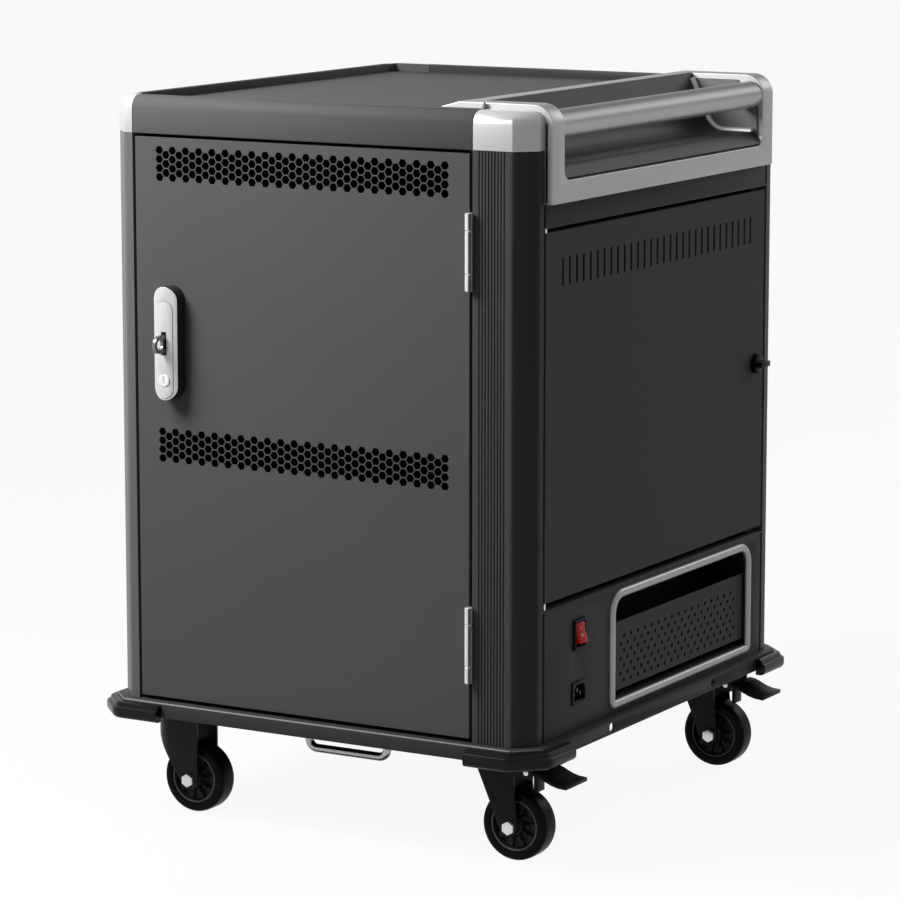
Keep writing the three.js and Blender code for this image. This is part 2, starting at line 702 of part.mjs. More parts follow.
function makeServiceDoor(cart) {
  const width = [sideFront, sideRear];
  const levels = [serviceBottom, serviceTop];
  const shell = box([right - SERVICE_RETURN, right], width, levels);
  const hollow = box(
    [right - SERVICE_RETURN - 1, right - DOOR_SHEET],
    [width[0] + DOOR_SHEET, width[1] - DOOR_SHEET],
    [levels[0] + DOOR_SHEET, levels[1] - DOOR_SHEET],
  );
  const slotRow = (sideFront + sideRear) / 2 - ((SLOT_COUNT - 1) * SLOT_PITCH) / 2;
  const slotTop = serviceTop - SLOT_DROP;
  const slots = Array.from({ length: SLOT_COUNT }, (_, i) => {
    const y = slotRow + i * SLOT_PITCH;
    return box(
      [right - DOOR_SHEET - 1, right + 1],
      [y - SLOT_WIDTH / 2, y + SLOT_WIDTH / 2],
      [slotTop - SLOT_HEIGHT, slotTop],
    );
  });
  const spindleRadius = TURN_SPINDLE / 2 + TURN_PLAY;
  const spindleRoom = rod('x', [right - DOOR_SHEET - 1, turnY, turnZ], DOOR_SHEET + 2, spindleRadius);
  const pinTop = headerBottom + PANEL_SHEET - FIT_GAP;
  const pinFoot = sideSillTop - PANEL_SHEET + FIT_GAP;
  const pins = [
    rod('z', [pinX, pinY, serviceTop - DOOR_SHEET], pinTop - serviceTop + DOOR_SHEET, SERVICE_PIN_RADIUS, 12),
    rod('z', [pinX, pinY, pinFoot], serviceBottom + DOOR_SHEET - pinFoot, SERVICE_PIN_RADIUS, 12),
  ];
  addPart(cart, 'service_door', charcoal, join(cut(shell, hollow, slots, spindleRoom), pins));

  const camLength = TURN_INSET + SIDE_GAP - CAM_POST_CLEARANCE;
  const camBack = right - STILE_RECESS - PANEL_SHEET - CAM_CLEARANCE - CAM_SHEET;
  const discStart = right + FIT_GAP;
  const disc = rod('x', [discStart, turnY, turnZ], TURN_DISC_THICKNESS, TURN_DISC / 2, 20);
  const wing = box(
    [discStart, discStart + TURN_DISC_THICKNESS + TURN_WING_DEPTH],
    [turnY - TURN_DISC / 2, turnY + TURN_DISC / 2],
    [turnZ - TURN_WING / 2, turnZ + TURN_WING / 2],
  );
  const spindle = rod('x', [camBack, turnY, turnZ], discStart - camBack + 1, TURN_SPINDLE / 2, 16);
  const cam = box(
    [camBack, camBack + CAM_SHEET],
    [turnY - CAM_WIDTH / 2, turnY + CAM_WIDTH / 2],
    [turnZ - camLength, turnZ + CAM_WIDTH / 2],
  );
  addPart(cart, 'service_thumb_turn', blackPlastic, join(disc, wing, spindle, cam));
}

function makePocket(cart) {
  const outline = pocketShape(TRIM_WIDTH + FIT_GAP);
  const back = right - BIN_DEPTH;
  const shell = prismX(outline, [back, right - FIT_GAP]);
  const hollow = prismX(pocketShape(TRIM_WIDTH + FIT_GAP + BIN_SHEET), [back + BIN_SHEET, right + 1]);
  const clear = TRIM_WIDTH + FIT_GAP + BIN_SHEET / 2;
  const frontFoot = pocketZ - POCKET_HEIGHT / 2 + TRIM_WIDTH + BIN_FRONT_FOOT;
  const frontPlate = box(
    [right - BIN_FRONT_RECESS - BIN_SHEET, right - BIN_FRONT_RECESS],
    [pocketY - POCKET_WIDTH / 2 + clear, pocketY + POCKET_WIDTH / 2 - clear],
    [frontFoot, frontFoot + BIN_FRONT_HEIGHT],
  );
  addPart(cart, 'pocket_bin', charcoal, join(cut(shell, hollow), frontPlate));

  const ring = pocketShape(TRIM_ROUND);
  ring.holes.push(pocketShape(TRIM_WIDTH - TRIM_ROUND));
  const trim = prismX(ring, [right + FIT_GAP, right + TRIM_PROUD - TRIM_ROUND], {
    bevelEnabled: true,
    bevelSize: TRIM_ROUND,
    bevelThickness: TRIM_ROUND,
    bevelSegments: 1,
    curveSegments: 4,
  });
  const outside = box(
    [right + FIT_GAP, right + 2 * TRIM_PROUD],
    [pocketY - POCKET_WIDTH, pocketY + POCKET_WIDTH],
    [pocketZ - POCKET_HEIGHT, pocketZ + POCKET_HEIGHT],
  );
  addPart(cart, 'pocket_trim', trimGrey, trim.intersect(outside));
}

function makeSwitch(cart) {
  const throughPanel = 2 * (BEZEL_FLANGE + FIT_GAP);
  const pocketWidth = BEZEL_WIDTH - throughPanel - 2 * BEZEL_WALL;
  const bezelOutline = rectangle(switchY, switchZ, BEZEL_WIDTH, BEZEL_HEIGHT);
  const flange = prismX(bezelOutline, [right + FIT_GAP, right + BEZEL_PROUD]);
  const body = prismX(
    rectangle(switchY, switchZ, BEZEL_WIDTH - throughPanel, BEZEL_HEIGHT - throughPanel),
    [right - BEZEL_DEPTH, right + BEZEL_PROUD],
  );
  const pocket = prismX(
    rectangle(switchY, switchZ, pocketWidth, ROCKER_POCKET),
    [right - BEZEL_DEPTH + BEZEL_WALL, right + BEZEL_PROUD + 1],
  );
  addPart(cart, 'switch_bezel', blackPlastic, cut(join(flange, body), pocket));

  // The rocker is drawn level about its pivot, then tilted so that its lower half stands out
  const tilt = THREE.MathUtils.degToRad(ROCKER_TILT);
  const half = ROCKER_HEIGHT / 2;
  const level = [
    [ROCKER_FACE, -half], [ROCKER_FACE - ROCKER_DISH, 0], [ROCKER_FACE, half],
    [ROCKER_FACE - ROCKER_DEPTH, half - 3], [ROCKER_FACE - ROCKER_DEPTH, 3 - half],
  ];
  const tilted = level.map(([x, z]) => {
    const reach = x - ROCKER_PIVOT;
    return [
      right + ROCKER_PIVOT + reach * Math.cos(tilt) - z * Math.sin(tilt),
      switchZ + reach * Math.sin(tilt) + z * Math.cos(tilt),
    ];
  });
  const rockerHalf = pocketWidth / 2 - ROCKER_PLAY;
  const rocker = prismY(shapeOf(tilted), [switchY - rockerHalf, switchY + rockerHalf]);
  addPart(cart, 'rocker_switch', redPlastic, rocker);
}

function makeInlet(cart) {
  const throughPanel = 2 * (INLET_FLANGE + FIT_GAP);
  const bodyWidth = INLET_WIDTH - throughPanel;
  const bodyTall = INLET_TALL - throughPanel;
  const [halfWidth, halfTall] = [bodyWidth / 2 - INLET_WALL, bodyTall / 2 - INLET_WALL];
  const inletOutline = rectangle(inletY, inletZ, INLET_WIDTH, INLET_TALL);
  const flange = prismX(inletOutline, [right + FIT_GAP, right + INLET_PROUD]);
  const bodyOutlineYZ = rectangle(inletY, inletZ, bodyWidth, bodyTall);
  const body = prismX(bodyOutlineYZ, [right - INLET_DEPTH, right + INLET_PROUD]);
  const cupFloor = right + INLET_PROUD - INLET_CUP;
  const cup = prismX(shapeOf([
    [inletY - halfWidth, inletZ - halfTall], [inletY + halfWidth, inletZ - halfTall],
    [inletY + halfWidth, inletZ + halfTall - INLET_CORNER],
    [inletY + halfWidth - INLET_CORNER, inletZ + halfTall],
    [inletY - halfWidth + INLET_CORNER, inletZ + halfTall],
    [inletY - halfWidth, inletZ + halfTall - INLET_CORNER],
  ]), [cupFloor, right + INLET_PROUD + 1]);
  const pins = [-1, 0, 1].map((side) => {
    const y = inletY + side * INLET_PIN_PITCH;
    const z = inletZ + (side === 0 ? INLET_PIN_WIDTH / 2 : -INLET_PIN_WIDTH / 2);
    return box(
      [cupFloor - 1, cupFloor + INLET_PIN_LENGTH],
      [y - INLET_PIN_SHEET / 2, y + INLET_PIN_SHEET / 2],
      [z - INLET_PIN_WIDTH / 2, z + INLET_PIN_WIDTH / 2],
    );
  });
  addPart(cart, 'power_inlet', blackPlastic, join(cut(join(flange, body), cup), pins));
}

// A bent wire hanging from the base: two legs, two bends and a level run
function makePull(cart) {
  const y = front + PULL_FROM_FRONT;
  const top = baseTop - BASE_SHEET - FIT_GAP;
  const low = underBase - PULL_DROP + PULL_ROD / 2;
  const half = PULL_WIDTH / 2;
  const at = (x, z) => new THREE.Vector3(x, y, z);
  const path = new THREE.CurvePath();
  path.add(new THREE.LineCurve3(at(-half, top), at(-half, low + PULL_BEND)));
  const nearBend = [at(-half, low + PULL_BEND), at(-half, low), at(-half + PULL_BEND, low)];
  path.add(new THREE.QuadraticBezierCurve3(...nearBend));
  path.add(new THREE.LineCurve3(at(-half + PULL_BEND, low), at(half - PULL_BEND, low)));
  const farBend = [at(half - PULL_BEND, low), at(half, low), at(half, low + PULL_BEND)];
  path.add(new THREE.QuadraticBezierCurve3(...farBend));
  path.add(new THREE.LineCurve3(at(half, low + PULL_BEND), at(half, top)));
  const section = new THREE.Shape();
  section.absarc(0, 0, PULL_ROD / 2, 0, Math.PI * 2);
  const wire = new THREE.ExtrudeGeometry(section, { steps: 40, extrudePath: path, curveSegments: 4 });
  addPart(cart, 'wire_pull', chrome, solid(wire));
}

// A cabinet door with its hinge halves and lock, drawn at the front with the hinges on the right
function makeCabinetDoor(cart, side, turn) {
  const group = new THREE.Group();
  group.rotation.z = turn;
  cart.add(group);

  const hingeEdge = right - POST_WIDE - DOOR_GAP;
  const freeEdge = left + POST_NARROW + DOOR_GAP;
  const shell = box([freeEdge, hingeEdge], [front, front + DOOR_RETURN], [doorBottom, doorTop]);
  const hollow = box(
    [freeEdge + DOOR_SHEET, hingeEdge - DOOR_SHEET],
    [front + DOOR_SHEET, front + DOOR_RETURN + 1],
    [doorBottom + DOOR_SHEET, doorTop - DOOR_SHEET],
  );
  addPart(group, `${side}_door`, charcoal, cut(shell, hollow));

  const axisX = hingeEdge + DOOR_GAP / 2;
  const axisY = front - HINGE_PROUD;
  const feet = [doorBottom + HINGE_INSET, doorTop - HINGE_INSET - HINGE_HEIGHT];
  const leafLevels = [feet[0], feet[1] + HINGE_HEIGHT];
  const leafY = [front, front + HINGE_LEAF];
  const leafInset = DOOR_GAP / 2 - FIT_GAP;
  const postLeafX = [axisX + leafInset - HINGE_SHEET, axisX + leafInset];
  const doorLeafX = [axisX - leafInset, axisX - leafInset + HINGE_SHEET];
  const web = (x, z) => box(x, [axisY, front + 1], z);
  const knuckle = ([z0, z1]) => rod('z', [axisX, axisY, z0], z1 - z0, HINGE_RADIUS, 16);
  const postHalf = [box(postLeafX, leafY, leafLevels)];
  const doorHalf = [box(doorLeafX, leafY, leafLevels)];
  const pinHoles = [];
  for (const foot of feet) {
    const head = foot + HINGE_HEIGHT;
    const endKnuckles = [[foot, foot + HINGE_END_KNUCKLE], [head - HINGE_END_KNUCKLE, head]];
    const middle = [foot + HINGE_END_KNUCKLE + KNUCKLE_GAP, head - HINGE_END_KNUCKLE - KNUCKLE_GAP];
    for (const levels of endKnuckles) postHalf.push(knuckle(levels), web(postLeafX, levels));
    postHalf.push(rod('z', [axisX, axisY, foot], HINGE_HEIGHT, HINGE_PIN_RADIUS, 10));
    doorHalf.push(knuckle(middle), web(doorLeafX, middle));
    pinHoles.push(rod('z', [axisX, axisY, foot], HINGE_HEIGHT, HINGE_PIN_RADIUS + HINGE_PIN_PLAY, 10));
  }
  addPart(group, `${side}_hinge_post_half`, chrome, join(postHalf));
  addPart(group, `${side}_hinge_door_half`, chrome, cut(join(doorHalf), pinHoles));

  makeLock(group, side, freeEdge + LOCK_INSET);
}

// A block over the whole lock whose face is bowed from side to side, up to a front plane
function crownedBlock(lockX, lockZ, face, back) {
  const bow = [];
  for (let i = 0; i <= LOCK_CROWN_STEPS; i += 1) {
    const across = (2 * i) / LOCK_CROWN_STEPS - 1;
    bow.push([lockX + (across * LOCK_WIDTH) / 2, face + LOCK_CROWN * across ** 2]);
  }
  const plan = shapeOf([...bow, [lockX + LOCK_WIDTH / 2, back], [lockX - LOCK_WIDTH / 2, back]]);
  return prismZ(plan, [lockZ - LOCK_HEIGHT, lockZ + LOCK_HEIGHT]);
}

function makeLock(group, side, lockX) {
  const lockZ = doorBottom + LOCK_CENTRE;
  const lockBack = front - FIT_GAP;
  const lockFront = lockBack - LOCK_THICKNESS;
  const channelFloor = lockBack - LOCK_FLOOR;
  const leverZ = lockZ - LEVER_DROP;
  const stapleRadius = STAPLE_HEIGHT / 2;
  const stapleTip = lockFront - STAPLE_PROUD;

  const outline = oblong(lockX, lockZ, LOCK_WIDTH, LOCK_HEIGHT);
  const plate = prismY(outline, [lockFront - 1, lockBack + 1], 8)
    .intersect(crownedBlock(lockX, lockZ, lockFront, lockBack));
  const channel = prismY(
    oblong(lockX, leverZ, LEVER_WIDTH + 2 * LEVER_PLAY, LEVER_LENGTH + 2 * LEVER_PLAY),
    [lockFront - 1, channelFloor],
    8,
  );
  const stapleX = [lockX - STAPLE_THICKNESS / 2, lockX + STAPLE_THICKNESS / 2];
  const eyeY = stapleTip + stapleRadius;
  const eye = rod('x', [stapleX[0], eyeY, lockZ], STAPLE_THICKNESS, stapleRadius, 20);
  const shank = box(stapleX, [eyeY, channelFloor + 1], [lockZ - stapleRadius, lockZ + stapleRadius]);
  const eyeHole = rod('x', [stapleX[0] - 1, eyeY, lockZ], STAPLE_THICKNESS + 2, STAPLE_HOLE / 2, 16);
  addPart(group, `${side}_lock_body`, satinChrome, join(cut(plate, channel), cut(join(eye, shank), eyeHole)));

  const leverY = [lockFront - LEVER_PROUD, lockFront - LEVER_PROUD + LEVER_THICKNESS];
  const windowHalf = STAPLE_THICKNESS / 2 + STAPLE_WINDOW_PLAY;
  const window = box(
    [lockX - windowHalf, lockX + windowHalf],
    [leverY[0] - 1, leverY[1] + 1],
    [lockZ - stapleRadius - STAPLE_WINDOW_MARGIN, lockZ + stapleRadius + STAPLE_WINDOW_MARGIN],
  );
  const keyZ = leverZ - LEVER_LENGTH / 2 + CYLINDER_INSET;
  const roomRadius = CYLINDER_DIAMETER / 2 + CYLINDER_PLAY;
  const cylinderRoom = rod('y', [lockX, leverY[0] - 1, keyZ], LEVER_THICKNESS + 2, roomRadius, 20);
  const lever = prismY(oblong(lockX, leverZ, LEVER_WIDTH, LEVER_LENGTH), [leverY[0] - 1, leverY[1] + 1], 8)
    .intersect(crownedBlock(lockX, lockZ, ...leverY));
  addPart(group, `${side}_lock_lever`, satinChrome, cut(lever, window, cylinderRoom));

  const keyFace = lockFront - CYLINDER_PROUD;
  const barrel = rod('y', [lockX, keyFace, keyZ], leverY[1] - keyFace, CYLINDER_DIAMETER / 2, 20);
  const slot = box(
    [lockX - KEY_SLOT_WIDTH / 2, lockX + KEY_SLOT_WIDTH / 2],
    [keyFace - 1, keyFace + KEY_SLOT_DEPTH],
    [keyZ - KEY_SLOT_HEIGHT / 2, keyZ + KEY_SLOT_HEIGHT / 2],
  );
  addPart(group, `${side}_key_cylinder`, satinChrome, cut(barrel, slot));
}

function wheelSolid() {
  const radius = WHEEL_DIAMETER / 2;
  const bore = AXLE_RADIUS + AXLE_PLAY;
  const tyreFoot = radius - TYRE_THICKNESS;
  const rimFoot = tyreFoot - RIM_THICKNESS;
  const half = WHEEL_WIDTH / 2;
  const shoulder = half - TYRE_SHOULDER;
  const outerSide = [
    [bore, HUB_WIDTH / 2], [HUB_RADIUS, HUB_WIDTH / 2], [HUB_RADIUS, WEB_WIDTH / 2], [rimFoot, WEB_WIDTH / 2],
    [rimFoot, half - 1], [tyreFoot, half - 1], [tyreFoot, half], [radius - TYRE_SHOULDER, half],
    [radius - TYRE_SHOULDER * 0.3, half - TYRE_SHOULDER * 0.3], [radius, shoulder],
  ];
  const mirrored = outerSide.map(([r, h]) => [r, -h]).reverse();
  const profile = [...outerSide, ...mirrored, outerSide[0]];
  const flatToFlat = 1 / Math.cos(Math.PI / WHEEL_SIDES);
  const points = profile.reverse().map(([r, h]) => new THREE.Vector2(r * flatToFlat, h));
  const turned = new THREE.LatheGeometry(points, WHEEL_SIDES, Math.PI / WHEEL_SIDES);
  return solid(turned);
}

// An axle bolt through both fork legs, with its head at the front and its nut at the rear
function axleSolid() {
  const outside = FORK_GAP / 2 + FORK_SHEET + FIT_GAP;
  const headRadius = BOLT_HEAD / 2 / Math.cos(Math.PI / 6);
  return join(
    rod('y', [0, -outside - 1, 0], 2 * outside + 2, AXLE_RADIUS, 12),
    rod('y', [0, -outside - BOLT_HEAD_HEIGHT, 0], BOLT_HEAD_HEIGHT, headRadius, 6),
    rod('y', [0, outside, 0], BOLT_HEAD_HEIGHT, headRadius, 6),
  );
}

function axleHole() {
  return rod('y', [0, -FORK_GAP, 0], 2 * FORK_GAP, AXLE_RADIUS + AXLE_PLAY, 12);
}

const plateRise = plateTop - axleHeight;

// A rigid caster fork about its axle: two legs joined by a rounded flange on the left, under a plate
function rigidForkSolid() {
  const inside = FORK_GAP / 2;
  const outside = inside + FORK_SHEET;
  const bend = -RIGID_FLANGE_CENTRE;
  const plan = new THREE.Shape();
  plan.moveTo(RIGID_LEG / 2, outside);
  plan.lineTo(bend, outside);
  plan.absarc(bend, 0, outside, Math.PI / 2, Math.PI * 1.5);
  plan.lineTo(RIGID_LEG / 2, -outside);
  plan.lineTo(RIGID_LEG / 2, -inside);
  plan.lineTo(bend, -inside);
  plan.absarc(bend, 0, inside, Math.PI * 1.5, Math.PI / 2, true);
  plan.lineTo(RIGID_LEG / 2, inside);
  const legs = prismZ(plan, [-FORK_FOOT, plateRise - 1], { curveSegments: 8 });
  const flangeFoot = plateRise - RIGID_FLANGE_DROP;
  const sideView = prismY(shapeOf([
    [RIGID_LEG, plateRise], [RIGID_LEG, 0], [RIGID_LEG / 2, -FORK_FOOT / 2], [RIGID_LEG / 4, -FORK_FOOT],
    [-RIGID_LEG / 4, -FORK_FOOT], [-RIGID_LEG / 2, -FORK_FOOT / 2], [bend - outside, flangeFoot],
    [bend - outside - 1, plateRise],
  ]), [-outside - 1, outside + 1]);
  const plateCentre = (bend - outside + RIGID_LEG) / 2;
  const plate = box(
    [plateCentre - RIGID_PLATE_LENGTH / 2, plateCentre + RIGID_PLATE_LENGTH / 2],
    [-PLATE_SIZE / 2, PLATE_SIZE / 2],
    [plateRise - PLATE_SHEET, plateRise],
  );
  return cut(join(legs.intersect(sideView), plate), axleHole());
}

// A swivel caster's fixed plate about its swivel axis, with the race that the crown turns under
function swivelPlateSolid() {
  const plate = box(
    [-PLATE_SIZE / 2, PLATE_SIZE / 2],
    [-PLATE_SIZE / 2, PLATE_SIZE / 2],
    [plateTop - PLATE_SHEET, plateTop],
  );
  const raceFoot = plateTop - PLATE_SHEET - RACE_HEIGHT;
  const race = rod('z', [0, 0, raceFoot], RACE_HEIGHT + 1, RACE_RADIUS, 20);
  const bore = rod('z', [0, 0, raceFoot - 1], KINGPIN_HEIGHT + 2, KINGPIN_RADIUS + KINGPIN_PLAY, 16);
  return cut(join(plate, race), bore);
}

const crownTop = plateTop - PLATE_SHEET - CROWN_BELOW_PLATE;

// A swivel fork about its swivel axis, trailing to the right, with cheeks for the brake pedal
function swivelForkSolid() {
  const inside = FORK_GAP / 2;
  const outside = inside + FORK_SHEET;
  const foot = axleHeight - FORK_FOOT;
  const leg = shapeOf([
    [-CROWN_BACK, crownTop], [CROWN_FRONT, crownTop], [CROWN_FRONT, crownTop - CHEEK_HEIGHT],
    [LEG_FRONT, crownTop - CHEEK_HEIGHT], [SWIVEL_TRAIL + FORK_FOOT * 0.8, axleHeight],
    [SWIVEL_TRAIL + FORK_FOOT * 0.5, foot + FORK_FOOT * 0.3], [SWIVEL_TRAIL, foot],
    [SWIVEL_TRAIL - FORK_FOOT * 0.7, foot + FORK_FOOT * 0.2], [SWIVEL_TRAIL - FORK_FOOT * 1.2, axleHeight],
  ]);
  const legs = [prismY(leg, [-outside, -inside]), prismY(leg, [inside, outside])];
  const crown = box([-CROWN_BACK, CROWN_FRONT], [-outside, outside], [crownTop - FORK_SHEET, crownTop]);
  const kingpin = rod('z', [0, 0, crownTop - 1], KINGPIN_HEIGHT + 1, KINGPIN_RADIUS, 16);
  const axle = rod('y', [SWIVEL_TRAIL, -FORK_GAP, axleHeight], 2 * FORK_GAP, AXLE_RADIUS + AXLE_PLAY, 12);
  const pedalStart = [PEDAL_PIVOT_REACH, -FORK_GAP, crownTop - PEDAL_PIVOT_DROP];
  const pedalPin = rod('y', pedalStart, 2 * FORK_GAP, PEDAL_PIN_RADIUS + PEDAL_PIN_PLAY, 12);
  return cut(join(legs, crown, kingpin), axle, pedalPin);
}

// A brake pedal about its pivot: an S-shaped plate, a pivot pin and a pad that swings to the tyre
function pedalSolid() {
  const inside = FORK_GAP / 2 - 2 * FIT_GAP;
  const wideStart = CROWN_FRONT - PEDAL_PIVOT_REACH + PEDAL_CHEEK_CLEARANCE;
  const bend = new THREE.CubicBezierCurve(
    new THREE.Vector2(wideStart, PEDAL_SHEET / 2),
    new THREE.Vector2(wideStart + PEDAL_REACH * 0.3, PEDAL_SHEET / 2),
    new THREE.Vector2(wideStart + PEDAL_REACH * 0.35, PEDAL_SHEET / 2 - PEDAL_DIP),
    new THREE.Vector2(PEDAL_REACH, PEDAL_SHEET / 2 - PEDAL_DIP),
  ).getPoints(6).map(({ x, y }) => [x, y]);
  const under = offsetLine(bend, PEDAL_SHEET).reverse();
  const tread = prismY(shapeOf([...bend, ...under]), [-PEDAL_WIDTH / 2, PEDAL_WIDTH / 2]);
  const arm = box([0, wideStart + 1], [-inside, inside], [-PEDAL_SHEET / 2, PEDAL_SHEET / 2]);
  const boss = rod('y', [0, -inside, 0], 2 * inside, PEDAL_BOSS, 12);
  const pinEnd = FORK_GAP / 2 + FORK_SHEET + 1;
  const pin = rod('y', [0, -pinEnd, 0], 2 * pinEnd, PEDAL_PIN_RADIUS, 12);
  const padHalf = WHEEL_WIDTH / 2 - TYRE_SHOULDER;
  const pad = box(
    [PEDAL_PAD_REACH - PEDAL_PAD_THICKNESS, PEDAL_PAD_REACH],
    [-padHalf, padHalf],
    [-PEDAL_PAD_DROP, 0],
  );
  return join(tread, arm, boss, pin, pad);
}

function placed(cart, x, y, z) {
  const group = new THREE.Group();
  group.position.set(x, y, z);
  cart.add(group);
  return group;
}

function makeCasters(cart) {
  const ends = [
    { name: 'front', y: front + CASTER_INSET },
    { name: 'rear', y: rear - CASTER_INSET },
  ];
  for (const { name, y } of ends) {
    const leftAxle = placed(cart, left + RIGID_INSET, y, axleHeight);
    addPart(leftAxle, `rigid_fork_${name}`, blackPlastic, rigidForkSolid());
    addPart(leftAxle, `axle_bolt_${name}_left`, zinc, axleSolid());
    addPart(leftAxle, `wheel_${name}_left`, blackRubber, wheelSolid());

    const swivel = placed(cart, right - SWIVEL_INSET, y, 0);
    addPart(swivel, `swivel_plate_${name}`, blackPlastic, swivelPlateSolid());
    addPart(swivel, `swivel_fork_${name}`, blackPlastic, swivelForkSolid());
    const rightAxle = placed(swivel, SWIVEL_TRAIL, 0, axleHeight);
    addPart(rightAxle, `axle_bolt_${name}_right`, zinc, axleSolid());
    addPart(rightAxle, `wheel_${name}_right`, blackRubber, wheelSolid());
    const pivot = placed(swivel, PEDAL_PIVOT_REACH, 0, crownTop - PEDAL_PIVOT_DROP);
    addPart(pivot, `brake_pedal_${name}`, blackPlastic, pedalSolid());
  }
}

function makeInside(cart) {
  const partitionX = [right - PARTITION_INSET, right - PARTITION_INSET + PARTITION_SHEET];
  const behindDoor = DOOR_RETURN + INSIDE_DOOR_CLEARANCE;
  const partitionY = [front + behindDoor, rear - behindDoor];
  const partition = box(partitionX, partitionY, [baseTop + FIT_GAP, doorTop - PARTITION_DROP]);
  addPart(cart, 'power_partition', innerSteel, partition);

  const bayX = [left + PANEL_SHEET + FIT_GAP, partitionX[0] - FIT_GAP];
  const behindJamb = POST_SIDE + 2;
  const shelfTop = doorBottom + SHELF_HEIGHT + SHELF_SHEET;
  const shelf = box(bayX, [front + behindJamb, rear - behindJamb], [doorBottom + SHELF_HEIGHT, shelfTop]);
  addPart(cart, 'middle_shelf', innerSteel, shelf);

  const rackX = [bayX[0] + FIT_GAP, bayX[1] - FIT_GAP];
  const rackY = [front + RACK_FROM_FRONT, front + RACK_FROM_FRONT + RACK_DEPTH];
  const slotPitch = (rackX[1] - rackX[0] - RACK_SHEET) / RACK_SLOTS;
  const floors = [
    { name: 'lower_rack', z: baseTop + FIT_GAP },
    { name: 'upper_rack', z: shelfTop + FIT_GAP },
  ];
  for (const { name, z } of floors) {
    const pieces = [box(rackX, rackY, [z, z + RACK_SHEET])];
    for (let i = 0; i <= RACK_SLOTS; i += 1) {
      const x = rackX[0] + i * slotPitch;
      pieces.push(box([x, x + RACK_SHEET], rackY, [z, z + RACK_SHEET + DIVIDER_HEIGHT]));
    }
    addPart(cart, name, innerSteel, join(pieces));
  }

  const stripX = [partitionX[1] + FIT_GAP, partitionX[1] + FIT_GAP + STRIP_DEPTH];
  const stripZ = doorBottom + STRIP_HEIGHT;
  const strip = box(stripX, [-STRIP_LENGTH / 2, STRIP_LENGTH / 2], [stripZ, stripZ + STRIP_TALL]);
  const socketPitch = STRIP_LENGTH / SOCKET_COUNT;
  const sockets = Array.from({ length: SOCKET_COUNT }, (_, i) => {
    const y = (i + 0.5) * socketPitch - STRIP_LENGTH / 2;
    const z = stripZ + STRIP_TALL / 2;
    return box(
      [stripX[1] - SOCKET_RECESS, stripX[1] + 1],
      [y - SOCKET_SIZE / 2, y + SOCKET_SIZE / 2],
      [z - SOCKET_SIZE / 2, z + SOCKET_SIZE / 2],
    );
  });
  addPart(cart, 'power_strip', blackPlastic, cut(strip, sockets));
}

const cart = new THREE.Group();
makeBase(cart);
makeBumpers(cart);
makePosts(cart);
makeTop(cart);
makeHandle(cart);
makeSidePanels(cart);
makeServiceDoor(cart);
makePocket(cart);
makeSwitch(cart);
makeInlet(cart);
makePull(cart);
makeCabinetDoor(cart, 'front', 0);
makeCabinetDoor(cart, 'rear', Math.PI);
makeCasters(cart);
makeInside(cart);

// The origin lies on the floor, under the middle of the cart's box
const bounds = new THREE.Box3().setFromObject(cart);
const centre = bounds.getCenter(new THREE.Vector3());
cart.position.set(-centre.x, -centre.y, -bounds.min.z);

const chargingCart = new THREE.Group();
chargingCart.add(cart);

export default chargingCart;
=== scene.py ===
"""Looks of the laptop charging cart: rounded, perforated and finished pieces over the CAD frame."""

import json
import math

import bmesh
import bpy
from mathutils import Matrix, Vector
from mathutils.bvhtree import BVHTree


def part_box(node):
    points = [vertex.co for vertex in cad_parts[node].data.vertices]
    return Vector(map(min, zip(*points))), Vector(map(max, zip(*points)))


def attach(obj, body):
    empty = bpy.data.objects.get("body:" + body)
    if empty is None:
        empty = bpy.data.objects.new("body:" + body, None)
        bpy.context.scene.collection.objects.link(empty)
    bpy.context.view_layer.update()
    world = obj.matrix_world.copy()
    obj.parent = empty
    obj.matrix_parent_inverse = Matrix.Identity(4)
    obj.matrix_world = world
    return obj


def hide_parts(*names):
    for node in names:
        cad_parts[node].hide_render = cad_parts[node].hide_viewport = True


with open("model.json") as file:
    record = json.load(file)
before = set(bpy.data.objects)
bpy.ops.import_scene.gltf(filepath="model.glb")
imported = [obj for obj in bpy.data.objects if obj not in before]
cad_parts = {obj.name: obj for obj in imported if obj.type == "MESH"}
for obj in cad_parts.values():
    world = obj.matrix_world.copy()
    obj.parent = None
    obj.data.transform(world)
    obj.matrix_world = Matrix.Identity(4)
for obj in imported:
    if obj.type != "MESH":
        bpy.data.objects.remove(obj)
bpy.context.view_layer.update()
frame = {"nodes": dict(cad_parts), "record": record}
nodes = frame["nodes"]
slot_of = {part["node"]: part["material_slot"] for part in frame["record"]["subparts"]}
body_of = {node: body for body, names in frame["record"]["behaviour"]["bodies"].items() for node in names}

MM = 0.001

# Broad clouds in every finish, their share beside the fine grain, and the grain's octaves
CLOUDS_PER_METRE = 5
CLOUD_SHARE = 0.3
GRAIN_DETAIL = 3
RELIEF_DEPTH = 0.0002
COAT_ROUGHNESS = 0.12

# Distances in metres at which points are joined, and the angle in degrees under which faces are one flat
WELD = 1e-5
FINE_WELD = 1e-7
FLAT_ANGLE = 1

# The rear door set is the front one turned half round this upright axis
TURN_X = -0.0025
TO_AXIS = Matrix.Translation((TURN_X, 0, 0))
HALF_TURN = TO_AXIS @ Matrix.Rotation(math.pi, 4, "Z") @ TO_AXIS.inverted()


# Materials


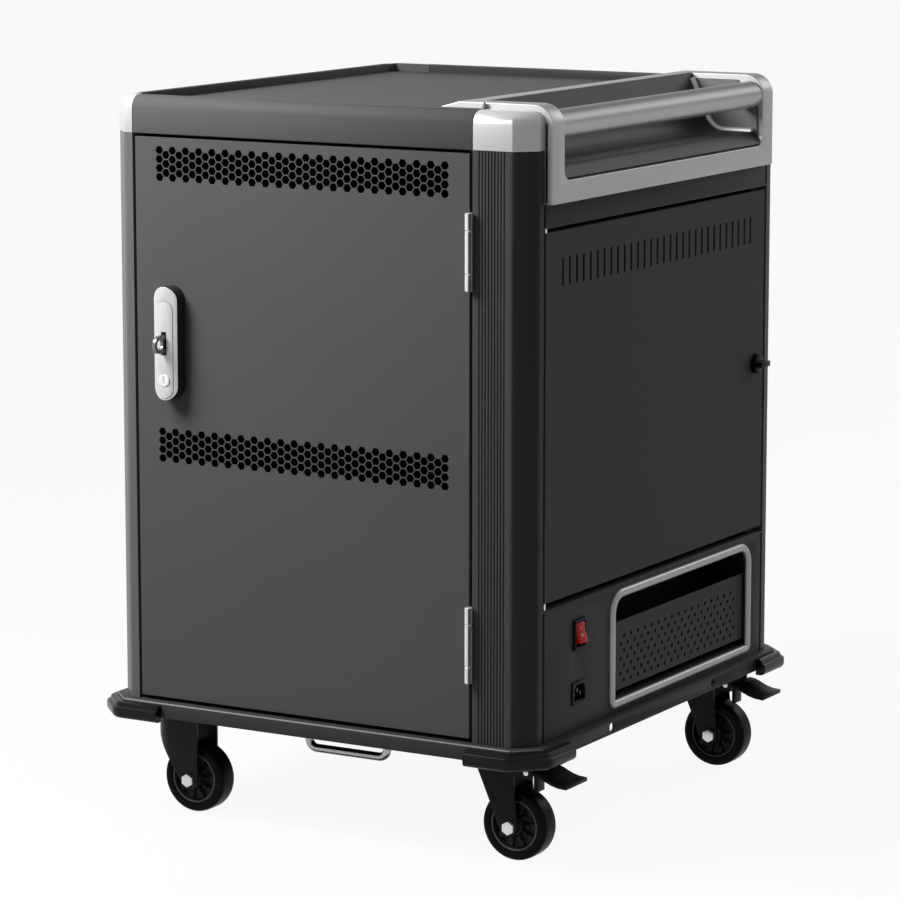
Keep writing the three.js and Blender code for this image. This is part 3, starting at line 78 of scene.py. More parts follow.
def surface(
    name, dark, light, grain, rough, metallic=0.0, specular=0.5, bump=0.0, coat=0.0, stretch=(1, 1, 1)
):
    """A finish that varies with a fine grain, in cells per metre, over broad clouds."""
    material = bpy.data.materials.new(name)
    material.use_nodes = True
    tree = material.node_tree
    shader = tree.nodes["Principled BSDF"]
    shader.inputs["Metallic"].default_value = metallic
    shader.inputs["Specular IOR Level"].default_value = specular
    shader.inputs["Coat Weight"].default_value = coat
    shader.inputs["Coat Roughness"].default_value = COAT_ROUGHNESS
    place = tree.nodes.new("ShaderNodeTexCoord")
    scale = tree.nodes.new("ShaderNodeMapping")
    scale.inputs["Scale"].default_value = stretch
    tree.links.new(place.outputs["Object"], scale.inputs["Vector"])
    fine = tree.nodes.new("ShaderNodeTexNoise")
    fine.inputs["Scale"].default_value = grain
    fine.inputs["Detail"].default_value = GRAIN_DETAIL
    tree.links.new(scale.outputs["Vector"], fine.inputs["Vector"])
    clouds = tree.nodes.new("ShaderNodeTexNoise")
    clouds.inputs["Scale"].default_value = CLOUDS_PER_METRE
    tree.links.new(place.outputs["Object"], clouds.inputs["Vector"])
    both = tree.nodes.new("ShaderNodeMix")
    both.inputs["Factor"].default_value = CLOUD_SHARE
    tree.links.new(fine.outputs["Fac"], both.inputs["A"])
    tree.links.new(clouds.outputs["Fac"], both.inputs["B"])
    mix = tree.nodes.new("ShaderNodeMix")
    mix.data_type = "RGBA"
    mix.inputs["A"].default_value = (*dark, 1)
    mix.inputs["B"].default_value = (*light, 1)
    tree.links.new(both.outputs["Result"], mix.inputs["Factor"])
    tree.links.new(mix.outputs["Result"], shader.inputs["Base Color"])
    gloss = tree.nodes.new("ShaderNodeMapRange")
    gloss.inputs["To Min"].default_value = rough[0]
    gloss.inputs["To Max"].default_value = rough[1]
    tree.links.new(both.outputs["Result"], gloss.inputs["Value"])
    tree.links.new(gloss.outputs["Result"], shader.inputs["Roughness"])
    if bump:
        relief = tree.nodes.new("ShaderNodeBump")
        relief.inputs["Strength"].default_value = bump
        relief.inputs["Distance"].default_value = RELIEF_DEPTH
        tree.links.new(fine.outputs["Fac"], relief.inputs["Height"])
        tree.links.new(relief.outputs["Normal"], shader.inputs["Normal"])
    return material


def grey(value, tint=0.0):
    return (value, value * (1 + tint / 2), value * (1 + tint))


def painted_light_bands(material, across, start, end):
    """Paints light and shade on a bright metal by how its faces turn: upwards, or from the front to the side.
    """
    tree = material.node_tree
    shader = tree.nodes["Principled BSDF"]
    colour = shader.inputs["Base Color"].links[0].from_socket
    place = tree.nodes.new("ShaderNodeTexCoord")
    split = tree.nodes.new("ShaderNodeSeparateXYZ")
    tree.links.new(place.outputs["Normal"], split.inputs["Vector"])
    turned = tree.nodes.new("ShaderNodeMath")
    turned.operation = "MULTIPLY"
    turned.inputs[1].default_value = 1
    tree.links.new(split.outputs[across[0]], turned.inputs[0])
    if len(across) > 1:
        tree.links.new(split.outputs[across[1]], turned.inputs[1])
    band = tree.nodes.new("ShaderNodeMapRange")
    band.inputs["From Min"].default_value, band.inputs["To Min"].default_value = start
    band.inputs["From Max"].default_value, band.inputs["To Max"].default_value = end
    tree.links.new(turned.outputs["Value"], band.inputs["Value"])
    shaded = tree.nodes.new("ShaderNodeVectorMath")
    shaded.operation = "SCALE"
    tree.links.new(colour, shaded.inputs["Vector"])
    tree.links.new(band.outputs["Result"], shaded.inputs["Scale"])
    tree.links.new(shaded.outputs["Vector"], shader.inputs["Base Color"])
    return material


finishes = {
    "charcoal_paint": surface(
        "charcoal_paint", grey(0.074, 0.03), grey(0.098, 0.03), 700, (0.5, 0.6), specular=0.05, bump=0.14
    ),
    "post_paint": surface("post_paint", grey(0.036), grey(0.05), 600, (0.3, 0.38), specular=0.06, bump=0.04),
    "silver_plastic": surface(
        "silver_plastic", grey(0.48, 0.01), grey(0.56, 0.01), 900, (0.36, 0.44), 0.35, specular=0.2, bump=0.05
    ),
    "scoop_plastic": surface(
        "scoop_plastic", grey(0.018, 0.02), grey(0.026, 0.02), 800, (0.34, 0.44), specular=0.06, bump=0.06
    ),
    "chrome": surface("chrome", grey(0.62), grey(0.74), 60, (0.16, 0.22), 0.4, specular=0.4),
    "satin_chrome": surface(
        "satin_chrome", grey(0.58), grey(0.68), 1200, (0.26, 0.34), 0.3, specular=0.3, stretch=(1, 1, 0.05)
    ),
    "zinc": surface("zinc", grey(0.6, 0.03), grey(0.74, 0.03), 250, (0.28, 0.4), 0.85),
    "black_plastic": surface(
        "black_plastic", grey(0.006), grey(0.01), 700, (0.34, 0.44), specular=0.06, bump=0.05
    ),
    "caster_paint": surface(
        "caster_paint", grey(0.009), grey(0.015), 500, (0.3, 0.4), specular=0.08, bump=0.05
    ),
    "bumper_rubber": surface(
        "bumper_rubber", grey(0.005), grey(0.008), 500, (0.2, 0.28), specular=0.14, bump=0.02
    ),
    "wheel_tyre": surface("wheel_tyre", grey(0.003), grey(0.006), 400, (0.3, 0.4), specular=0.05, bump=0.06),
    "red_plastic": surface(
        "red_plastic", (0.7, 0.012, 0.016), (0.84, 0.02, 0.026), 120, (0.2, 0.28), specular=0.06, coat=0.05
    ),
    "trim_grey": surface(
        "trim_grey", grey(0.44, 0.01), grey(0.52, 0.01), 600, (0.3, 0.38), 0.3, specular=0.2, bump=0.03
    ),
    "inner_steel": surface(
        "inner_steel", grey(0.04, 0.03), grey(0.055, 0.03), 600, (0.5, 0.6), specular=0.05, bump=0.08
    ),
}
hub_black = surface("hub_black", grey(0.024), grey(0.036), 300, (0.3, 0.42), specular=0.08)
fork_paint = surface("fork_paint", grey(0.02), grey(0.028), 500, (0.3, 0.4), specular=0.08, bump=0.05)
base_paint = surface(
    "base_paint", grey(0.038, 0.03), grey(0.052, 0.03), 700, (0.4, 0.5), specular=0.06, bump=0.1
)
base_painted_highlight = surface("base_painted_highlight", grey(0.24), grey(0.3), 700, (0.3, 0.4), specular=0.2)
tray_painted_shade = surface(
    "tray_painted_shade", grey(0.058, 0.03), grey(0.078, 0.03), 700, (0.5, 0.6), specular=0.05, bump=0.14
)
narrow_post_painted_light = surface(
    "narrow_post_painted_light", grey(0.112), grey(0.136), 600, (0.3, 0.38), specular=0.08, bump=0.04
)
rib_painted_light = surface("rib_painted_light", grey(0.058), grey(0.074), 600, (0.3, 0.38), specular=0.06, bump=0.04)
lock_shade = surface("lock_shade", grey(0.02), grey(0.03), 300, (0.3, 0.4), specular=0.2)
staple_steel = surface("staple_steel", grey(0.16), grey(0.24), 300, (0.2, 0.28), 0.6, specular=0.4)
key_steel = surface("key_steel", grey(0.8), grey(0.9), 300, (0.24, 0.32), 0.3, specular=0.4)
mark_white = surface("mark_white", grey(0.86), grey(0.94), 300, (0.4, 0.5), specular=0.2)
end_wall_grey = surface("end_wall_grey", grey(0.2), grey(0.25), 800, (0.36, 0.44), specular=0.1, bump=0.05)
hub_ring = surface("hub_ring", grey(0.1), grey(0.14), 300, (0.25, 0.35), specular=0.2)
bin_black = surface("bin_black", grey(0.008), grey(0.012), 500, (0.45, 0.55), specular=0.04)
contact_metal = surface("contact_metal", grey(0.05), grey(0.09), 300, (0.25, 0.35), 0.4)

# Hinge barrels: painted reflection, a dark stripe on the faces turned half way between the front and the side
barrel_chrome_painted_reflection = painted_light_bands(
    surface("barrel_chrome_painted_reflection", grey(0.74), grey(0.84), 60, (0.16, 0.22), 0.4, specular=0.4),
    "XY", (-0.42, 0.06), (-0.26, 1),
)
# Silver handle housing with painted shade: its upward faces darkened to half
handle_painted_shade = painted_light_bands(
    surface(
        "handle_painted_shade", grey(0.5, 0.01), grey(0.58, 0.01), 900, (0.36, 0.44), 0.35, specular=0.2, bump=0.05
    ),
    "Z", (0.4, 1), (0.9, 0.5),
)
# Silver push bar with painted shade: darker from its middle up to a fifth of its colour on top
bar_painted_shade = painted_light_bands(
    surface("bar_painted_shade", grey(0.5, 0.01), grey(0.58, 0.01), 900, (0.3, 0.38), 0.35, specular=0.2, bump=0.03),
    "Z", (-0.05, 1), (0.7, 0.2),
)
# Wire pull: painted reflection, dark on top and underneath with a bright band round the middle
wire_chrome_painted_reflection = painted_light_bands(
    painted_light_bands(
        surface("wire_chrome_painted_reflection", grey(0.86), grey(0.94), 60, (0.16, 0.22), 0.2, specular=0.3),
        "Z", (0.28, 1), (0.44, 0.02),
    ),
    "Z", (-0.38, 0.02), (-0.22, 1),
)

for node, cad_object in nodes.items():
    cad_object.data.materials.clear()
    cad_object.data.materials.append(finishes[slot_of[node]])


# Pieces


def add_piece(name, mesh, node, material=None, replaces=(), smooth=40):
    """Shows a mesh as a piece that moves with a node's body and takes its material slot."""
    mesh.polygons.foreach_set("use_smooth", [True] * len(mesh.polygons))
    mesh.set_sharp_from_angle(angle=math.radians(smooth))
    mesh.materials.clear()
    mesh.materials.append(material or finishes[slot_of[node]])
    piece = bpy.data.objects.new(name, mesh)
    bpy.context.scene.collection.objects.link(piece)
    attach(piece, body_of[node])
    if replaces:
        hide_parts(*replaces)
    return piece


def mesh_of(name, form):
    mesh = bpy.data.meshes.new(name)
    bmesh.ops.recalc_face_normals(form, faces=form.faces)
    form.to_mesh(mesh)
    form.free()
    return mesh


def joined(name, meshes):
    form = bmesh.new()
    for mesh in meshes:
        form.from_mesh(mesh)
    whole = bpy.data.meshes.new(name)
    form.to_mesh(whole)
    form.free()
    return whole


def turned_copy(mesh):
    copy = mesh.copy()
    copy.transform(HALF_TURN)
    return copy


def refined(node, width, steps=2, sharp=50, blunt=180, smooth=40, material=None):
    """The CAD node's own shape with its outer edges between two angles rounded by a width in millimetres."""
    form = bmesh.new()
    form.from_mesh(nodes[node].data)
    bmesh.ops.remove_doubles(form, verts=form.verts, dist=WELD)
    bmesh.ops.dissolve_limit(form, angle_limit=math.radians(FLAT_ANGLE), verts=form.verts, edges=form.edges)
    bmesh.ops.connect_verts_concave(form, faces=form.faces)
    edges = [
        edge for edge in form.edges
        if edge.is_convex and math.radians(sharp) < edge.calc_face_angle(0) < math.radians(blunt)
    ]
    bmesh.ops.bevel(
        form, geom=edges, offset=width * MM, segments=steps, profile=0.5, affect="EDGES", clamp_overlap=True
    )
    mesh = mesh_of(node + "_shown", form)
    if "custom_normal" in mesh.attributes:
        mesh.attributes.remove(mesh.attributes["custom_normal"])
    return add_piece(node + "_shown", mesh, node, material, replaces=[node], smooth=smooth)


def recolour(piece, material, chosen):
    """Gives a second material to the faces that a test chooses."""
    piece.data.materials.append(material)
    for face in piece.data.polygons:
        if chosen(face):
            face.material_index = len(piece.data.materials) - 1


def lathe(name, profile, centre, axis, sides):
    """A closed profile of (radius, height) points in millimetres turned round an axis through a centre."""
    form = bmesh.new()
    frames = {"y": ((0, 0, 1), (1, 0, 0), (0, 1, 0)), "z": ((1, 0, 0), (0, 1, 0), (0, 0, 1))}
    across, upward, along = (Vector(direction) for direction in frames[axis])
    rings = []
    for i in range(sides):
        angle = 2 * math.pi * i / sides
        out = across * math.cos(angle) + upward * math.sin(angle)
        rings.append([form.verts.new(Vector(centre) + (out * r + along * h) * MM) for r, h in profile])
    count = len(profile)
    for i in range(sides):
        near, far = rings[i], rings[(i + 1) % sides]
        for j in range(count):
            k = (j + 1) % count
            form.faces.new((near[j], near[k], far[k], far[j]))
    bmesh.ops.remove_doubles(form, verts=form.verts, dist=FINE_WELD)
    bmesh.ops.dissolve_degenerate(form, edges=form.edges, dist=FINE_WELD)
    return mesh_of(name, form)


def round_bar(radius, start, end, edge=0.5):
    """A bar's profile with rounded rims, from one height to another."""
    return [(0, start), (radius - edge, start), (radius, start + edge),
            (radius, end - edge), (radius - edge, end), (0, end)]


def sweep(name, path, normals, profile, place, closed):
    """A profile of (outward, upward) points carried along a flat path and set by a place function."""
    form = bmesh.new()
    rings = []
    for (a, b), (na, nb) in zip(path, normals):
        rings.append([form.verts.new(place(a + na * out, b + nb * out, up)) for out, up in profile])
    count = len(profile)
    last = len(rings) if closed else len(rings) - 1
    for i in range(last):
        near, far = rings[i], rings[(i + 1) % len(rings)]
        for j in range(count):
            k = (j + 1) % count
            form.faces.new((near[j], near[k], far[k], far[j]))
    if not closed:
        form.faces.new(rings[0])
        form.faces.new(rings[-1])
    return mesh_of(name, form)


def rounded_loop(a0, a1, b0, b1, foot, top, steps=10):
    """Points and outward normals round a rectangle with rounded lower and upper corners."""
    points, normals = [], []
    corners = [(a1 - foot, b0 + foot, foot, -90), (a1 - top, b1 - top, top, 0),
               (a0 + top, b1 - top, top, 90), (a0 + foot, b0 + foot, foot, 180)]
    for a, b, radius, start in corners:
        for i in range(steps + 1):
            angle = math.radians(start + 90 * i / steps)
            normals.append((math.cos(angle), math.sin(angle)))
            points.append((a + radius * math.cos(angle), b + radius * math.sin(angle)))
    return points, normals


def circle(a, b, radius, sides=20):
    turns = [2 * math.pi * i / sides for i in range(sides)]
    return [(a + radius * math.cos(turn), b + radius * math.sin(turn)) for turn in turns]


def sheet(name, outline, holes, thickness, matrix, edge=0.25):
    """A flat plate in millimetres with holes and slightly rounded edges, centred on its plane."""
    curve = bpy.data.curves.new(name, "CURVE")
    curve.dimensions = "2D"
    curve.fill_mode = "BOTH"
    curve.extrude = thickness / 2 - edge
    curve.bevel_depth = edge
    curve.bevel_resolution = 1
    curve.offset = -edge
    for loop in [outline, *holes]:
        spline = curve.splines.new("POLY")
        spline.points.add(len(loop) - 1)
        for point, (a, b) in zip(spline.points, loop):
            point.co = (a, b, 0, 1)
        spline.use_cyclic_u = True
    carrier = bpy.data.objects.new(name, curve)
    bpy.context.scene.collection.objects.link(carrier)
    evaluated = carrier.evaluated_get(bpy.context.evaluated_depsgraph_get())
    mesh = bpy.data.meshes.new_from_object(evaluated)
    bpy.data.objects.remove(carrier)
    mesh.transform(matrix @ Matrix.Scale(MM, 4))
    mesh.name = name
    return mesh


def facing(direction, offset):
    """Puts a flat drawing on a plane: its width and height become X and Z, or Y and Z."""
    if direction == "front":
        columns = ((1, 0, 0), (0, 0, 1), (0, -1, 0))
        shift = Vector((0, offset, 0)) * MM
    else:
        columns = ((0, 1, 0), (0, 0, 1), (1, 0, 0))
        shift = Vector((offset, 0, 0)) * MM
    return Matrix.Translation(shift) @ Matrix(columns).transposed().to_4x4()


def millimetres(node):
    low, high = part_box(node)
    return low / MM, high / MM


def rectangle(a0, a1, b0, b1):
    return [(a0, b0), (a1, b0), (a1, b1), (a0, b1)]


# Cabinet doors: pans with two bands of hexagonal vents

DOOR_SHEET = 1.5
HEX_FLATS = 8.2
HEX_PITCH = 9.5
HEX_ROWS = 4
HEX_COLUMNS = 43
HEX_FIRST_COLUMN = 30.3
HEX_UPPER_DROP = 27.5
HEX_LOWER_RISE = 274


def hex_band(low_x, middle):
    """Hexagons with flat tops in a honeycomb: full columns of four between columns of three."""
    holes = []
    column_pitch = HEX_PITCH * math.sqrt(3) / 2
    for column in range(HEX_COLUMNS):
        rows = HEX_ROWS - column % 2
        x = low_x + HEX_FIRST_COLUMN + column * column_pitch
        for row in range(rows):
            z = middle + (row - (rows - 1) / 2) * HEX_PITCH
            holes.append(circle(x, z, HEX_FLATS / math.sqrt(3), sides=6))
    return holes


low, high = millimetres("front_door")
outline = rectangle(low.x, high.x, low.z, high.z)
vents = hex_band(low.x, high.z - HEX_UPPER_DROP) + hex_band(low.x, low.z + HEX_LOWER_RISE)
face = sheet("door_face", outline, vents, DOOR_SHEET, facing("front", low.y + DOOR_SHEET / 2))
inner = rectangle(low.x + DOOR_SHEET, high.x - DOOR_SHEET, low.z + DOOR_SHEET, high.z - DOOR_SHEET)
depth = high.y - low.y - DOOR_SHEET
returns = sheet("door_returns", outline, [inner], depth, facing("front", low.y + DOOR_SHEET + depth / 2))
door = joined("front_door_shown", [face, returns])
add_piece("front_door_shown", door, "front_door", replaces=["front_door"])
add_piece("rear_door_shown", turned_copy(door), "rear_door", replaces=["rear_door"])

# Hinges: round knuckles on their leaves

HINGE_RADIUS = 4
HINGE_HEIGHT = 79
END_KNUCKLE = 17.5
KNUCKLE_GAP = 0.4
KNUCKLE_SIDES = 40
LEAF_SHEET = 1.2
LEAF_GAP = 0.3
LEAF_BEHIND = 4.5
WEB_DEPTH = 6


def box_mesh(name, low, high, edge=0.2):
    form = bmesh.new()
    bmesh.ops.create_cube(form, size=1)
    for vertex in form.verts:
        vertex.co = Vector((low[i] if vertex.co[i] < 0 else high[i]) * MM for i in range(3))
    bmesh.ops.bevel(form, geom=form.edges[:], offset=edge * MM, segments=1, affect="EDGES")
    return mesh_of(name, form)


low, high = millimetres("front_hinge_post_half")
axis_point = Vector(((low.x + HINGE_RADIUS) * MM, (low.y + HINGE_RADIUS) * MM, 0))
feet = (low.z, high.z - HINGE_HEIGHT)
leaf_front = low.y + HINGE_RADIUS
post_x = low.x + HINGE_RADIUS + LEAF_GAP
door_x = low.x + HINGE_RADIUS - LEAF_GAP - LEAF_SHEET
post_pieces, door_pieces = [], []


def add_knuckle(pieces, x, start, end):
    """A round knuckle and the web that joins it to its leaf."""
    web_back = leaf_front + WEB_DEPTH
    pieces.append(lathe("knuckle", round_bar(HINGE_RADIUS, start, end), axis_point, "z", KNUCKLE_SIDES))
    pieces.append(box_mesh("web", (x, leaf_front, start), (x + LEAF_SHEET, web_back, end)))


for foot in feet:
    head = foot + HINGE_HEIGHT
    add_knuckle(post_pieces, post_x, foot, foot + END_KNUCKLE)
    add_knuckle(post_pieces, post_x, head - END_KNUCKLE, head)
    add_knuckle(door_pieces, door_x, foot + END_KNUCKLE + KNUCKLE_GAP, head - END_KNUCKLE - KNUCKLE_GAP)
    for x, pieces in ((post_x, post_pieces), (door_x, door_pieces)):
        leaf_low = (x, leaf_front + LEAF_BEHIND, foot)
        pieces.append(box_mesh("leaf", leaf_low, (x + LEAF_SHEET, high.y, head)))
for half, pieces in (("hinge_post_half", post_pieces), ("hinge_door_half", door_pieces)):
    mesh = joined(half, pieces)
    for side, shape in (("front", mesh), ("rear", turned_copy(mesh))):
        node = f"{side}_{half}"
        add_piece(f"{node}_shown", shape, node, material=barrel_chrome_painted_reflection, replaces=[node])

# Locks: the crowned CAD shapes with rounded edges

LOCK_CROWN_Y = 308.5
SIDEWAYS = 0.35
for side in ("front", "rear"):
    lock = refined(f"{side}_lock_body", 0.9, steps=3)
    # The lock's sideways faces take painted shade, a dark reflection down its sides
    recolour(lock, lock_shade, lambda face: abs(face.normal.y) < SIDEWAYS)
    recolour(lock, staple_steel, lambda face: abs(face.center.y) > LOCK_CROWN_Y * MM)
    refined(f"{side}_lock_lever", 0.7, steps=3)
    refined(f"{side}_key_cylinder", 0.4, material=key_steel)

# Service door: a shallow pan with a row of round-ended slots, and its pivot pins

SLOT_COUNT = 30
SLOT_PITCH = 15
SLOT_WIDTH = 4
SLOT_HEIGHT = 30
SLOT_DROP = 27
PIN_REACH = {"top": 6.2, "foot": 9}
PIN_RADIUS = 1.6
PIN_INSET = {"x": 3, "y": 4}
PIN_SIDES = 32
# Painted shadow, a thin black sheet at the foot of the service door's gap: its depth, inset, height and drop
SILL_SHADE = {"depth": 5.5, "inset": 0.2, "height": 0.6, "drop": 8}
SPINDLE_DROP = 11
SPINDLE_HOLE = 5.4


def slot_loop(a, b0, b1, width, steps=8):
    """An upright slot with round ends."""
    radius = width / 2
    turns = [math.pi * i / steps for i in range(steps + 1)]
    upper = [(a + radius * math.cos(t), b1 - radius + radius * math.sin(t)) for t in turns]
    lower = [(a - radius * math.cos(t), b0 + radius - radius * math.sin(t)) for t in turns]
    return upper + lower


low, high = millimetres("service_door")
low.z += PIN_REACH["foot"]
high.z -= PIN_REACH["top"]
outline = rectangle(low.y, high.y, low.z, high.z)
slot_top = high.z - SLOT_DROP
first_slot = (low.y + high.y) / 2 - (SLOT_COUNT - 1) / 2 * SLOT_PITCH
slots = [
    slot_loop(first_slot + i * SLOT_PITCH, slot_top - SLOT_HEIGHT, slot_top, SLOT_WIDTH)
    for i in range(SLOT_COUNT)
]
turn_low, turn_high = millimetres("service_thumb_turn")
spindle = circle((turn_low.y + turn_high.y) / 2, turn_high.z - SPINDLE_DROP, SPINDLE_HOLE)
face = sheet(
    "service_face", outline, slots + [spindle], DOOR_SHEET, facing("side", high.x - DOOR_SHEET / 2)
)
inner = rectangle(low.y + DOOR_SHEET, high.y - DOOR_SHEET, low.z + DOOR_SHEET, high.z - DOOR_SHEET)
depth = high.x - low.x - DOOR_SHEET
returns = sheet("service_returns", outline, [inner], depth, facing("side", low.x + depth / 2))
pin_point = Vector((high.x - PIN_INSET["x"], low.y + PIN_INSET["y"], 0)) * MM
pins = [
    lathe("pin", round_bar(PIN_RADIUS, start, end), pin_point, "z", PIN_SIDES)
    for start, end in ((low.z - PIN_REACH["foot"], low.z + 1), (high.z - 1, high.z + PIN_REACH["top"]))
]
add_piece("service_door_shown", joined("service_door_shown", [face, returns]), "service_door",
          replaces=["service_door"])
add_piece("service_pins", joined("service_pins", pins), "service_door", material=finishes["zinc"])
refined("service_thumb_turn", 0.8)
# A thin black sheet of painted shadow at the foot of the gap under the service door
foot_of_sill_shade = low.z - SILL_SHADE["drop"]
sill_shade_sheet = box_mesh(
    "sill_painted_shadow", (high.x - SILL_SHADE["depth"], low.y, foot_of_sill_shade),
    (high.x - SILL_SHADE["inset"], high.y, foot_of_sill_shade + SILL_SHADE["height"]),
)
add_piece("sill_painted_shadow", sill_shade_sheet, "right_side_panel", material=finishes["black_plastic"])

# Storage pocket: bin with a perforated front, and a rounded trim

TRIM_WIDTH = 9
TRIM_CORNERS = (5, 21)
TRIM_CORNER_STEPS = 14
TRIM_STEPS = 12
TRIM_FULLNESS = 0.75
HOLE_COLUMNS = 35
HOLE_PITCH = 8
HOLE_RADIUS = 2.4
HOLE_SIDES = 16
FEWEST_HOLES = 3
BIN_SHEET = 1.5
BIN_CORNERS = {"outer": (1.5, 15), "inner": (1, 13.5)}
PLATE = {"rise": 7.2, "height": 74, "holes": 32.5, "inset": 1, "behind": 2.7}
low, high = millimetres("pocket_bin")
points, _ = rounded_loop(low.y, high.y, low.z, high.z, *BIN_CORNERS["outer"])
inner_points, _ = rounded_loop(
    low.y + BIN_SHEET, high.y - BIN_SHEET, low.z + BIN_SHEET, high.z - BIN_SHEET, *BIN_CORNERS["inner"]
)
walls = sheet("bin_walls", points, [inner_points], high.x - low.x, facing("side", (low.x + high.x) / 2))
back = sheet("bin_back", points, [], BIN_SHEET, facing("side", low.x + BIN_SHEET / 2))
plate_foot = low.z + PLATE["rise"]
plate_middle = plate_foot + PLATE["holes"]
holes = []
for column in range(HOLE_COLUMNS):
    rows = FEWEST_HOLES + column % 2
    y = (low.y + high.y) / 2 + (column - (HOLE_COLUMNS - 1) / 2) * HOLE_PITCH
    for row in range(rows):
        z = plate_middle + (row - (rows - 1) / 2) * 2 * HOLE_PITCH
        holes.append(circle(y, z, HOLE_RADIUS, HOLE_SIDES))
add_piece("pocket_bin_shown", joined("pocket_bin_shown", [walls, back]), "pocket_bin", material=bin_black,
          replaces=["pocket_bin"])
outline = rectangle(
    low.y + PLATE["inset"], high.y - PLATE["inset"], plate_foot, plate_foot + PLATE["height"]
)
plate = sheet(
    "bin_front", outline, holes, BIN_SHEET, facing("side", high.x - PLATE["behind"] - BIN_SHEET / 2)
)
add_piece("pocket_front_shown", plate, "pocket_bin")

low, high = millimetres("pocket_trim")
half = TRIM_WIDTH / 2
path, normals = rounded_loop(
    low.y + half, high.y - half, low.z + half, high.z - half, *TRIM_CORNERS, TRIM_CORNER_STEPS
)
rise = high.x - low.x
turns = [math.pi * i / TRIM_STEPS for i in range(TRIM_STEPS + 1)]
crown = [(half * math.cos(t), rise * math.sin(t) ** TRIM_FULLNESS) for t in turns]
trim = sweep(
    "pocket_trim_shown", path, normals, crown, lambda a, b, up: Vector((low.x + up, a, b)) * MM, closed=True
)
add_piece("pocket_trim_shown", trim, "pocket_trim", replaces=["pocket_trim"], smooth=60)

# Electrics, with plain on and off marks on the rocker

MARK_HEIGHTS = {"on": 0.72, "off": 0.36}
MARK_BAR = (1.0, 3.4)
MARK_DOT = (2.6, 2.6)
MARK_SUNK = 0.3
MARK_RAISED = 0.15
MARK_EDGE = 0.05
BLADE = {"back": 16.8, "front": 2.9, "half_width": 1.1, "half_height": 2.1}
BLADE_PLACES = ((-7, -2), (0, 2), (7, -2))
AIM_FROM = 20

refined("switch_bezel", 0.8)
refined("rocker_switch", 0.9, steps=3, sharp=20)
low, high = millimetres("rocker_switch")
rocker_mesh = nodes["rocker_switch"].data
rocker_shape = BVHTree.FromPolygons(
    [vertex.co for vertex in rocker_mesh.vertices], [face.vertices for face in rocker_mesh.polygons]
)
marks = []
for share, size in ((MARK_HEIGHTS["on"], MARK_BAR), (MARK_HEIGHTS["off"], MARK_DOT)):
    aim = Vector((high.x + AIM_FROM, (low.y + high.y) / 2, low.z + share * (high.z - low.z))) * MM
    spot, normal, _, _ = rocker_shape.ray_cast(aim, Vector((-1, 0, 0)))
    half_x, half_y = size[0] / 2, size[1] / 2
    mark = box_mesh("mark", (-half_x, -half_y, -MARK_SUNK), (half_x, half_y, MARK_RAISED), MARK_EDGE)
    mark.transform(Matrix.Translation(spot) @ normal.to_track_quat("Z", "Y").to_matrix().to_4x4())
    marks.append(mark)
add_piece("rocker_marks", joined("rocker_marks", marks), "rocker_switch", material=mark_white)
refined("power_inlet", 0.6)
low, high = millimetres("power_inlet")
blades = []
for across, up in BLADE_PLACES:
    y, z = (low.y + high.y) / 2 + across, (low.z + high.z) / 2 + up
    blade_low = (high.x - BLADE["back"], y - BLADE["half_width"], z - BLADE["half_height"])
    blade_high = (high.x - BLADE["front"], y + BLADE["half_width"], z + BLADE["half_height"])
    blades.append(box_mesh("blade", blade_low, blade_high))
add_piece("inlet_blades", joined("inlet_blades", blades), "power_inlet", material=contact_metal)

# Push handle: housing, scoop liner with a bright bead round each end, and the bar

BEAD_RADIUS = 4.2
END_WALL = 0.8
BEAD_STEPS = 10
LINER_SHEET = 2
LINER_RAIL = 6
BAR_EDGE = 0.8

# The scoop's sizes behind the side plane, as in the CAD liner
SCOOP = {"lip": 7.5, "floor_end": 2, "foot": 50, "corner": 16, "top": 80, "depth": 62}

# Painted shadow, a black strip in the gap beside the caps and posts: its place behind the handle's face, and
# its size
GAP_SHADE = {"behind_face": 8, "wide": 2, "thick": 0.4, "foot": 2, "head": 18}

# A small pointed stud on the front cap: its place from the handle's corner, and its outline
STUD = {"x": 77, "y": 2.8, "z": 7.2}
STUD_OUTLINE = [(0, -1), (2.2, -1), (2.2, 4.4), (1.7, 6), (0.9, 7.4), (0, 8)]
STUD_SIDES = 32

# Sides of the round pieces that are turned on a lathe
ROUND_SIDES = 96

refined("handle_housing", 4.0, steps=4, sharp=55, smooth=50, material=handle_painted_shade)
liner = refined("handle_liner", 0.4, steps=1, smooth=30)
recolour(liner, end_wall_grey, lambda face: abs(face.normal.y) > END_WALL)
low, high = millimetres("push_bar")
bar_centre = Vector(((low.x + high.x) / 2, 0, (low.z + high.z) / 2)) * MM
bar_profile = round_bar((high.x - low.x) / 2, low.y, high.y, BAR_EDGE)
bar = lathe("push_bar_shown", bar_profile, bar_centre, "y", ROUND_SIDES)
add_piece("push_bar_shown", bar, "push_bar", material=bar_painted_shade, replaces=["push_bar"])


def scoop_line():
    """The scoop's section over the liner: along its floor, round the bend and up towards the rail."""
    low, high = millimetres("handle_liner")
    plane = high.x - SCOOP["lip"]
    floor, foot, top = high.z - SCOOP["depth"], plane - SCOOP["foot"], plane - SCOOP["top"]
    slope = (top - foot) / SCOOP["depth"]
    start = Vector((foot + SCOOP["corner"], floor))
    control = Vector((foot, floor))
    end = Vector((foot + slope * SCOOP["corner"], floor + SCOOP["corner"]))
    line = [Vector((plane - SCOOP["floor_end"], floor))]
    for i in range(BEAD_STEPS + 1):
        t = i / BEAD_STEPS
        line.append(start * (1 - t) ** 2 + control * 2 * t * (1 - t) + end * t ** 2)
    line.append(Vector((top - slope * LINER_RAIL, high.z - LINER_RAIL)))
    return line


